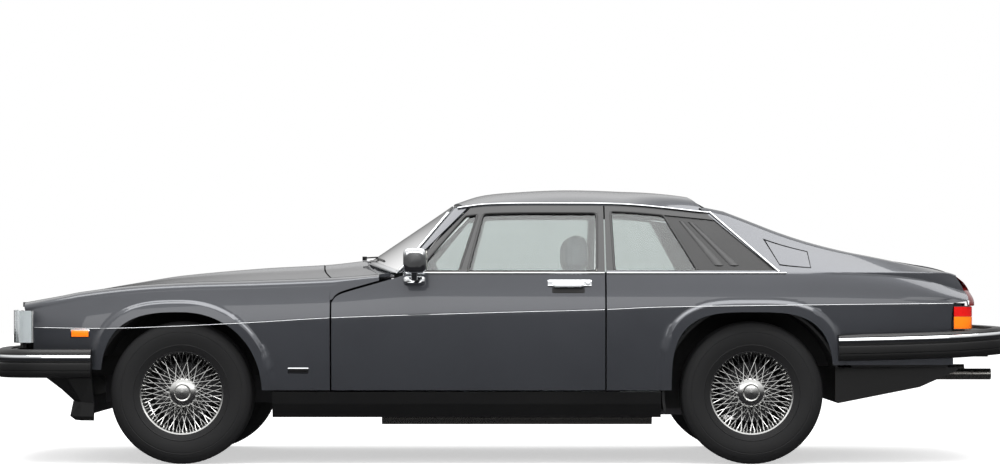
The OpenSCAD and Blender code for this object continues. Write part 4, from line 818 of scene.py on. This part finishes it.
# Lamps: a lens in front of a bright reflector block, and tail lamps in a chrome frame
share = len(NOSE) // 4 + 4
for hand, pick in (("left", slice(0, share)), ("right", slice(len(NOSE) - share, len(NOSE)))):
    lamp_part("headlamp_reflector_" + hand, NOSE, pick, 552, 697, -27, -12, REFLECTOR, "lamp_clear",
              "headlamps", True)
    lamp_part("headlamp_lens_" + hand, NOSE, pick, 550, 699, -8, -1, LENS, "lamp_clear", "headlamps", True)
share = int(len(TAIL_EDGE) * 0.24)
for hand, pick in (("left", slice(0, share)), ("right", slice(len(TAIL_EDGE) - share, len(TAIL_EDGE)))):
    for key, low, high, back, front, mat, slot in (
            ("red", 672.5, 716, -4.5, 0, RED, "lamp_red"), ("amber", 616, 671, -4.5, 0, AMBER, "lamp_red"),
            ("frame", 613, 719, -29, -5, CHROME, "chrome")):
        lamp_part("tail_lamp_%s_%s" % (key, hand), TAIL_EDGE, pick, low, high, back, front, mat, slot,
                  "tail_lamps")


def between(name, bar, inner, half, z0, z1, in0, in1, mat):
    """Black filler sheet between a bumper's back edge and the end panel, over |y| < half."""
    y = np.linspace(-half, half, 60)
    rows = []
    for path, d, z in ((bar, in0, z0), (inner, in1, z1)):
        order = np.argsort(path[:, 1])
        x = np.interp(y, path[order, 1], path[order, 0])
        rows.append(np.stack([x - np.sign(x) * d, y, np.full(60, float(z))], -1))
    outer = np.stack(rows if bar[80, 0] > 0 else rows[::-1], 0)
    return shell(name, outer * MM, (outer - [0, 0, 3]) * MM, mat, "body", "black_plastic")


between("front_bumper_filler", FRONT_BAR, NOSE, 700, 512, 523, 50, 20, TRIM)
between("rear_bumper_filler", REAR_BAR, TAIL_EDGE, 700, 606, 606, 50, 24, TRIM)


def strip(name, path, wide, high, mat, body, slot, up=(0, -1, 0), closed=False):
    """Thin rounded strip along a path in millimetres, `high` proud of it along `up`."""
    w, h = wide / 2 * MM, high * MM
    sec = [(w, -0.4 * h), (w, 0.35 * h), (0.72 * w, 0.8 * h), (0, h), (-0.72 * w, 0.8 * h), (-w, 0.35 * h),
           (-w, -0.4 * h)]
    return sweep(name, np.asarray(path, float) * MM, sec, mat, body, slot, up, 60, closed)


def on_side(x, z, out=0.0):
    """Point on the left body side, standing out from it by out."""
    x = np.asarray(x, float)
    return np.stack(np.broadcast_arrays(x, -side(x, z) - out, z), -1)


def outline(x0, x1, z0, top, out, inset=0.0):
    """Closed line round a window between two leaning columns, with rounded corners."""
    x0, x1, z0 = x0 + inset, x1 - inset, z0 + inset
    xs = np.linspace(x0, x1, 60)
    tops = column_top(xs, top) - inset
    low = upper(xs[30:], np.full(30, float(z0)), out)
    right = upper(np.full(24, x1), np.linspace(z0, tops[-1], 24), out)
    over = upper(xs[::-1], tops[::-1], out)
    left = upper(np.full(24, x0), np.linspace(tops[0], z0, 24), out)
    low2 = upper(xs[:30], np.full(30, float(z0)), out)
    p = np.concatenate([low, right[1:], over[1:], left[1:], low2[1:]])
    for _ in range(3):
        p[1:-1] = 0.25 * p[:-2] + 0.5 * p[1:-1] + 0.25 * p[2:]
    return p


for name, x0, x1, top, body in (("vent", -381, -186, door_top, "door_left"),
                                ("main", -150, 441, door_top, "door_left"),
                                ("quarter", 519, 905, quarter_top, "body")):
    twin(strip("window_%s_rubber_left" % name, outline(x0, x1, 875, top, -2, 1), 12, 4, RUBBER, body,
                     "rubber_trim", closed=True))
    twin(strip("window_%s_chrome_left" % name, outline(x0, x1, 875, top, 0.2, -1), 2.2, 1.2, STEEL,
                     body, "chrome", closed=True))

for name, x0, x1, body in (("door", -428, 474, "door_left"), ("quarter", 486, 1300, "body")):
    twin(strip("belt_chrome_%s_left" % name, on_side(np.linspace(x0, x1, 60), 869.0, 0.5), 9, 5, CHROME, body,
               "chrome"))
xs = np.linspace(-196, 962, 90)
z = line(RAIL, xs)
twin(strip("gutter_chrome_left", np.stack([xs, -(glasshouse(z) + 1), z + 2], -1), 9, 7, CHROME, "body",
           "chrome"))
z = np.linspace(874, 1150, 30)
twin(strip("diagonal_chrome_left", upper(np.full(30, 1270.0), z, 1), 11, 6, CHROME, "body", "chrome"))
foot = screen(np.linspace(-1, 1, 61), 0.0)
rise = screen(-1.0, np.linspace(1, 0, 24)[1:-1])
path = np.concatenate([rise, foot, mirror_y(rise)[::-1]])
strip("windscreen_chrome", path + [-1, 0, 1], 24, 5, CHROME, "body", "chrome", up=(-0.55, 0, 0.83))
# Thin chrome strip along the crease on each side: a painted highlight, standing in for the light that the
# crease line catches
for name, x0, x1, body in (("wing", -2120, -773, "body"), ("door", -763, 474, "door_left"),
                           ("quarter", 486, 2058, "body")):
    xs = np.linspace(x0, x1, 90)
    twin(strip("coach_line_%s_left" % name, on_side(xs, line(CREASE, xs), 0.2), 3.2, 1.6, CHROME, body,
                     "chrome"))


def patch(name, x0, x1, z0, z1, low, high, mat, body, slot, round_=0.0):
    """Small raised piece on the body side between two heights over the paint."""
    x = np.linspace(x0, x1, 18)[:, None]
    z = np.linspace(z0, z1, 10)[None]
    u, v = np.abs(np.linspace(-1, 1, 18))[:, None], np.abs(np.linspace(-1, 1, 10))[None]
    crown = high - round_ * (u ** 6 + v ** 4)
    return shell(name, on_side(x, z, crown) * MM, on_side(x, z, low) * MM, mat, body, slot)


twin(patch("side_marker_rim_left", -1952, -1864, 576, 614, -3, 3, CHROME, "body", "chrome", 2))
twin(patch("side_marker_left", -1947, -1869, 580, 610, 3, 9, AMBER, "body", "lamp_red", 4))
twin(patch("wing_bar_left", -962, -868, 413, 440, -2, 2.5, CHROME, "body", "chrome", 1.5))
twin(patch("wing_bar_inlay_left", -957, -873, 420, 433, 2, 3.4, SATIN, "body", "chrome", 0.5))
twin(patch("door_handle_plate_left", 217, 415, 806, 838, -3, 5, CHROME, "door_left", "chrome", 3))
twin(patch("door_handle_recess_left", 236, 384, 778, 806, -2, 1.5, TRIM, "door_left",
           "black_plastic", 1))
twin(patch("door_handle_lever_left", 240, 380, 803, 826, 5, 17, CHROME, "door_left", "chrome", 6))
twin(patch("door_handle_lock_left", 392, 406, 815, 829, 5, 10, CHROME, "door_left", "chrome", 2))

# Dark red lens that wraps round each rear corner above the lamps, with a chrome edge
z = np.linspace(722, 858, 26)[:, None]
xo = line([[720, 2160], [761, 2157], [820, 2128], [861, 2080]], z)
xi = line([[720, 2131], [742, 2128], [800, 2112], [850, 2082], [861, 2072]], z)
ys = -side(xi, z)
cols = [np.stack([xi, ys, z], -1)]
for f in np.linspace(0.1, 1, 10):
    a = f * math.pi / 2
    cols.append(np.stack([xi + (xo - xi) * math.sin(a), ys + 34 * (1 - math.cos(a)), z], -1))
cols += [np.stack([xo + 1.5 * f, mix(ys + 34, np.full_like(ys, -712.0), f), z], -1) for f in (0.5, 1.0)]
g = np.concatenate(cols, 1)
twin(shell("tail_corner_lens_left", g * MM, (g + [-6, 6, -2]) * MM, DARK_RED, "body", "lamp_red", turn=True))
twin(strip("tail_corner_chrome_left", cols[0][:, 0] + [-1, -0.5, 0], 8, 5, CHROME, "body", "chrome"))

# Slotted black panel behind the quarter window: a sheet with two raised slanted louvres
o = shell("quarter_vent_sheet_left", *pane(906, 1263, 873, quarter_top, 6, 11), TRIM, "body",
          "black_plastic")
stand_for("quarter_vent_panel", o)
twin(o)
for k, (x0, x1) in enumerate(((1000, 1045), (1075, 1120))):
    px = np.linspace(x0, x1, 8)[:, None]
    top = column_top(px, quarter_top)
    pz = mix(top - 20, np.full_like(top, 905.0), np.linspace(0, 1, 20)[None])[:, ::-1]
    p = upper(px, pz)
    bow = 4.5 * (1 - np.linspace(-1, 1, 8)[:, None] ** 2) * np.ones((1, 20))
    o = shell("vent_louvre_%d_left" % k, (p + [0, 5, 0] - np.stack([0 * bow, bow, 0 * bow], -1)) * MM,
              (p + [0, 5.9, 0]) * MM, SATIN, "body", "black_plastic")
    twin(o)


# Door mirror: chrome base, short stem and a rounded square housing with its glass behind
def rounded(cx, cz, w, h, n=40, power=5.0):
    """Rounded rectangle: |c|^p + |s|^p = 1 about a centre."""
    a = np.linspace(0, 2 * np.pi, n, endpoint=False)
    c, s = np.cos(a), np.sin(a)
    k = (np.abs(c) ** power + np.abs(s) ** power) ** (-1 / power)
    return cx + w / 2 * c * k, cz + h / 2 * s * k


rings = []
for y, k in ((-1040, 0.6), (-1039, 0.8), (-1034, 0.92), (-1022, 0.99), (-1000, 1.0), (-920, 1.0),
             (-890, 0.99), (-882, 0.92), (-879, 0.8)):
    gx, gz = rounded(-383, 926, 104 * k, 112 * k)
    rings.append(np.stack([gx, np.full(40, float(y)), gz], -1))
mirror = loft("mirror_housing_left", np.stack(rings), CHROME, "door_left", "chrome", 50, turn=True)
stand_for("door_mirror_left", mirror)
rings = []
for d, k in ((-1, 1.0), (14, 1.0), (28, 0.9), (36, 0.7)):
    gx, gz = rounded(-388, 838, 104 * k, 38 * k, power=4)
    rings.append(np.stack([gx, -side(gx, gz) - d, gz], -1))
base = loft("mirror_base_left", np.stack(rings)[::-1], CHROME, "door_left", "chrome", 50, turn=True)
stand_for("door_mirror_left", base)
stem = sweep("mirror_stem_left", np.array([[-388, -895, 838], [-388, -897, 855], [-387, -899, 875]]) * MM,
             ring(15 * MM, 20), CHROME, "door_left", "chrome", up=(1, 0, 0), angle=60)
stand_for("door_mirror_left", stem)
glass = [np.stack([np.full(40, x), *rounded(-960, 926, 132, 92)], -1) for x in (-331.4, -329.4)]
back = loft("mirror_glass_left", np.stack(glass), STEEL, "door_left", "glass", 40, turn=True)
for o in (mirror, base, stem, back):
    twin(o)

# Rear plate, blank
belt_along("number_plate_rear", np.stack([np.full(9, 2170.0), np.linspace(-255, 255, 9), np.zeros(9)], -1),
           [(-26, 624), (-22, 624), (-22, 706), (-26, 706)], PLATE, "body_paint")


# ---------------------------------------------------------------- wheels
SPOKES, SHOULDER_BLOCKS = 72, 84


def wheel(name, x, sign, track):
    """Wire wheel: rim, hub, disc and tyre are profiles turned about the axle. Each spoke is a thin
    tube from hub to rim, leaning 26 degrees, alternately to either side."""
    centre = np.array([x, sign * track / 2, AXLE_Z]) * MM
    body = "wheel_" + name
    rim = [(184, -92), (208, -100), (209, -98), (208, -92), (193, -86), (191, -60), (180, -30), (179, 20),
           (189, 40), (191, 84), (206, 90), (209, 96), (208, 100), (204, 100), (196, 93), (184, 88),
           (181, 44), (171, 24), (172, -30), (183, -64)]
    o = lathe("rim_" + name, np.array(rim) * MM, centre, sign, WIRE, body, "wheel_chrome", 144, 28)
    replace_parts(o, body)
    hub = [(20, -52), (60, -44), (64, -20), (62, 6), (66, 10), (66, 30), (58, 36), (40, 40), (38, 58),
           (33, 64), (20, 66), (0, 67), (0, -40)]
    o = lathe("hub_" + name, np.array(hub) * MM, centre, sign, WIRE, body, "wheel_chrome", 96, 28)
    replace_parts(o, body)
    disc = [(36, -52), (136, -52), (138, -50), (138, -42), (136, -40), (36, -40)]
    o = lathe("brake_disc_" + name, np.array(disc) * MM, centre, sign, CASTING, body, "running_gear")
    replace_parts(o, body)
    k = np.arange(SPOKES)
    row = k % 4
    a0 = 2 * np.pi * k / SPOKES
    lean = np.radians(np.where(row % 2 == 0, 26, -26))
    r0, w0 = np.where(row < 2, 61, 57), np.where(row < 2, 33, 0)
    w1 = np.where(row < 2, 12, 34)
    start = np.stack([r0 * np.cos(a0), w0, r0 * np.sin(a0)], -1)
    end = np.stack([182 * np.cos(a0 + lean), w1, 182 * np.sin(a0 + lean)], -1)
    t = end - start
    t /= np.linalg.norm(t, axis=1)[:, None]
    s = np.cross(t, [0, 1, 0])
    s /= np.linalg.norm(s, axis=1)[:, None]
    m = np.cross(s, t)
    c = ring(2.3, 8)
    rings = []
    for f, fat in ((0, 1.5), (0.05, 1.5), (0.08, 1.0), (0.9, 1.0), (0.92, 1.6), (1.0, 1.6)):
        p = mix(start, end, f)
        rings.append(p[:, None] + fat * (c[None, :, :1] * s[:, None] + c[None, :, 1:] * m[:, None]))
    g = np.stack(rings, 1)
    g[..., 1] *= sign
    verts = g.reshape(-1, 3) * MM + centre
    first = 48 * k[:, None, None]
    faces = (quads(6, 8, False, True) + first).reshape(-1, 4)
    ends = (np.array([list(range(8)), list(range(47, 39, -1))]) + first).reshape(-1, 8)
    if sign < 0:
        faces, ends = flip(faces), flip(ends)
    o = mesh("spokes_" + name, verts, faces.tolist() + ends.tolist(), WIRE, body, "wheel_chrome", 40)
    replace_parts(o, body)

    half = [(190, 93), (205, 101), (214, 104), (217, 107), (220, 106), (238, 110), (262, 112), (272, 111.4),
            (273, 110.4), (276, 110.2), (278, 111), (292, 108.6), (300, 106), (306, 102), (311, 100),
            (316, 96), (320.5, 90), (322.4, 86)]
    tread = []
    for w in (66, 40, 14):
        rise = (66 - w) * 0.02
        tread += [(323.6 + rise, w + 5), (314, w + 4), (314, w - 3), (323.8 + rise, w - 4)]
    outer_half = np.array(half + tread)
    inner_half = outer_half[::-1] * [1, -1]
    o = lathe("tyre_" + name, np.concatenate([outer_half, inner_half]) * MM, centre, sign, TYRE, body,
              "tyre", 160, 22, turn=True)
    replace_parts(o, "tyre_" + name)
    # Tread blocks on both shoulders, each a box between two angles
    j = np.arange(SHOULDER_BLOCKS)
    a = 2 * np.pi * j / SHOULDER_BLOCKS
    wide = 2 * np.pi / SHOULDER_BLOCKS * 0.72
    box = np.array([[0, 1, 5, 4], [1, 2, 6, 5], [2, 3, 7, 6], [3, 0, 4, 7], [3, 2, 1, 0], [4, 5, 6, 7]])
    verts, faces = [], []
    for n, hand in enumerate((-1, 1)):
        corners = [np.stack([r * np.cos(ang), np.full(len(a), hand * w * sign), r * np.sin(ang)], -1)
                   for ang in (a, a + wide) for r, w in ((324.4, 70), (315.2, 97), (310, 100), (317.8, 70))]
        verts.append(np.stack(corners, 1).reshape(-1, 3))
        turned = box if hand * sign < 0 else flip(box)
        faces.append((turned + 8 * (j[:, None, None] + n * SHOULDER_BLOCKS)).reshape(-1, 4))
    o = mesh("tread_blocks_" + name, np.concatenate(verts) * MM + centre, np.concatenate(faces).tolist(),
             TYRE, body, "tyre", 30)
    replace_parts(o, "tyre_" + name)


for end, x, track in (("front", FRONT, TRACK_FRONT), ("rear", REAR, TRACK_REAR)):
    for hand, sign in (("left", -1), ("right", 1)):
        wheel("%s_%s" % (end, hand), x, sign, track)


# ---------------------------------------------------------------- seats
SEAT_Y, CHANNEL = 0.365, 0.062  # middle of each seat, and the spacing of its sewn channels


def padded_seat(name, node, keep, size=0.008, cap=0.012):
    """Leather over foam: the CAD cushions that `keep` picks are remeshed and blown up as cloth."""
    src = NODES[node].data
    co = np.empty(len(src.vertices) * 3)
    src.vertices.foreach_get("co", co)
    co = co.reshape(-1, 3)
    faces = [list(f.vertices) for f in src.polygons if keep(co[list(f.vertices)].mean(0))]
    o = mesh(name, co, faces, LEATHER, "body", "leather")
    bpy.context.view_layer.objects.active = o
    o.data.remesh_voxel_size = size
    o.parent = None
    with bpy.context.temp_override(object=o, active_object=o, selected_objects=[o]):
        bpy.ops.object.voxel_remesh()
    n = len(o.data.vertices)
    rest = np.empty(n * 3)
    o.data.vertices.foreach_get("co", rest)
    m = o.modifiers.new("cloth", "CLOTH")
    m.settings.quality = 3
    m.settings.use_pressure = True
    m.settings.uniform_pressure_force = 4.0
    m.settings.effector_weights.gravity = 0.0
    for f in range(1, 15):
        bpy.context.scene.frame_set(f)
    seen = o.evaluated_get(bpy.context.evaluated_depsgraph_get())
    blown = np.empty(n * 3)
    seen.data.vertices.foreach_get("co", blown)
    o.modifiers.remove(m)
    bpy.context.scene.frame_set(1)
    move = (blown - rest).reshape(-1, 3)
    far = np.linalg.norm(move, axis=1)[:, None]
    rest = (rest.reshape(-1, 3) + move * np.minimum(1, cap / np.maximum(far, 1e-9))).reshape(-1)
    p = rest.reshape(-1, 3)
    normal = np.empty(n * 3)
    o.data.vertices.foreach_set("co", rest)
    o.data.update()
    o.data.vertices.foreach_get("normal", normal)
    # Sewn channels: shallow grooves side by side over the middle of the seat
    off = np.abs(p[:, 1]) - SEAT_Y
    across = np.abs(np.mod(off + CHANNEL / 2, CHANNEL) - CHANNEL / 2)
    groove = np.exp(-(across / 0.005) ** 2) * (np.abs(off) < 0.17)
    p = p - normal.reshape(-1, 3) * (0.005 * groove)[:, None]
    o.data.vertices.foreach_set("co", p.reshape(-1))
    o.data.polygons.foreach_set("use_smooth", [True] * len(o.data.polygons))
    o.data.update()
    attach(o, "body")
    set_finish(o, "leather")
    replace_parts(o, node)
    return o


padded_seat("front_seat_left", "front_seats", lambda c: c[1] < 0)
padded_seat("front_seat_right", "front_seats", lambda c: c[1] > 0)
padded_seat("rear_bench", "rear_seat", lambda c: True)


# ---------------------------------------------------------------- finishes on the CAD pieces that stay
FINISH = {
    "tail_panel": PAINT, "nose_panel": TRIM, "valances": TRIM, "wipers": SATIN, "sills": SATIN,
    "floor_pan": CARPET, "front_bulkhead": UNDER, "rear_bulkhead": CARPET, "front_rails": UNDER,
    "wheel_houses": UNDER, "boot_floor": UNDER, "engine": CASTING, "front_suspension": CASTING,
    "rear_suspension": CASTING, "exhaust": STEEL, "dashboard": TRIM, "front_seats": LEATHER,
    "rear_seat": LEATHER, "steering_wheel": TRIM, "knuckle_left": CASTING, "knuckle_right": CASTING,
}
for name, mat in FINISH.items():
    me = NODES[name].data
    if not me.materials:
        me.materials.append(mat)
    for i in range(len(me.materials)):
        me.materials[i] = mat


# ---------------------------------------------------------------- studio
LENGTH, SHIFT = 14.5, 0.0523  # camera's distance from the car's near side, and its lens shift
NEAR_SIDE, EYE, VIEW_WIDTH = -0.88, 0.8, 4.53  # y of that side, camera height, width seen there


def studio():
    """Pale floor, soft sky, two softboxes, and the camera level with the car's left side."""
    sc = bpy.context.scene
    sc.view_settings.view_transform = "Standard"
    m = bpy.data.materials.new("studio_floor_painted_white")
    m.use_nodes = True
    t = m.node_tree
    p = t.nodes["Principled BSDF"]
    p.inputs["Base Color"].default_value = (0.86, 0.86, 0.86, 1)
    p.inputs["Roughness"].default_value = 0.9
    glow = add(t, "Emission", Color=(1, 1, 1, 1), Strength=0.55)
    white = add(t, "AddShader", {0: p.outputs[0], 1: glow.outputs[0]})
    dark = add(t, "Emission", Color=(0.02, 0.02, 0.022, 1), Strength=1.0)
    glossy = add(t, "LightPath").outputs["Is Glossy Ray"]
    mixed = add(t, "MixShader", {0: glossy, 1: white.outputs[0], 2: dark.outputs[0]})
    t.links.new(mixed.outputs[0], t.nodes["Material Output"].inputs["Surface"])
    floor = mesh("studio_floor", [[-30, -14, 0], [30, -14, 0], [30, 40, 0], [-30, 40, 0]], [[0, 1, 2, 3]],
                 m, "body")

    w = bpy.data.worlds.new("studio_sky")
    sc.world = w
    w.use_nodes = True
    t = w.node_tree
    path = add(t, "LightPath")
    shown = add(t, "Math", {0: path.outputs["Is Camera Ray"], 1: path.outputs["Is Transmission Ray"]},
                operation="MAXIMUM").outputs[0]
    way = add(t, "SeparateXYZ", {"Vector": add(t, "TexCoord").outputs["Generated"]}).outputs["Z"]
    sky = add(t, "MapRange", {"Value": way}, From_Min=0.0, From_Max=0.45, To_Min=0.1, To_Max=1.25)
    lit = add(t, "Background", {"Color": sky.outputs["Result"]}, Strength=0.8)
    white = add(t, "Background", Color=(1, 1, 1, 1), Strength=1.0)
    mixed = add(t, "MixShader", {0: shown, 1: lit.outputs[0], 2: white.outputs[0]})
    t.links.new(mixed.outputs[0], t.nodes["World Output"].inputs["Surface"])

    def area(name, at, aim, sx, sy, watts):
        """Soft rectangular light at one point, facing another."""
        data = bpy.data.lights.new(name, "AREA")
        data.shape, data.size, data.size_y, data.energy = "RECTANGLE", sx, sy, watts
        o = bpy.data.objects.new(name, data)
        sc.collection.objects.link(o)
        o.location = at
        back = np.array(at, float) - np.array(aim, float)
        o.rotation_euler = Vector(back.tolist()).to_track_quat("Z", "Y").to_euler()

    area("softbox_over", (0, -1.5, 5.5), (0, 0, 0), 9, 4, 460)
    area("softbox_side", (0, -9.0, 3.2), (0, 0, 0.9), 10, 2.5, 130)

    cam = bpy.data.cameras.new("camera")
    cam.sensor_width = 36
    cam.lens = cam.sensor_width * LENGTH / VIEW_WIDTH
    cam.shift_y = SHIFT
    cam.clip_end = 200
    o = bpy.data.objects.new("camera", cam)
    sc.collection.objects.link(o)
    o.location = (0, NEAR_SIDE - LENGTH, EYE)
    o.rotation_euler = (math.pi / 2, 0, 0)
    sc.camera = o


studio()


def write_size():
    import json


write_size()
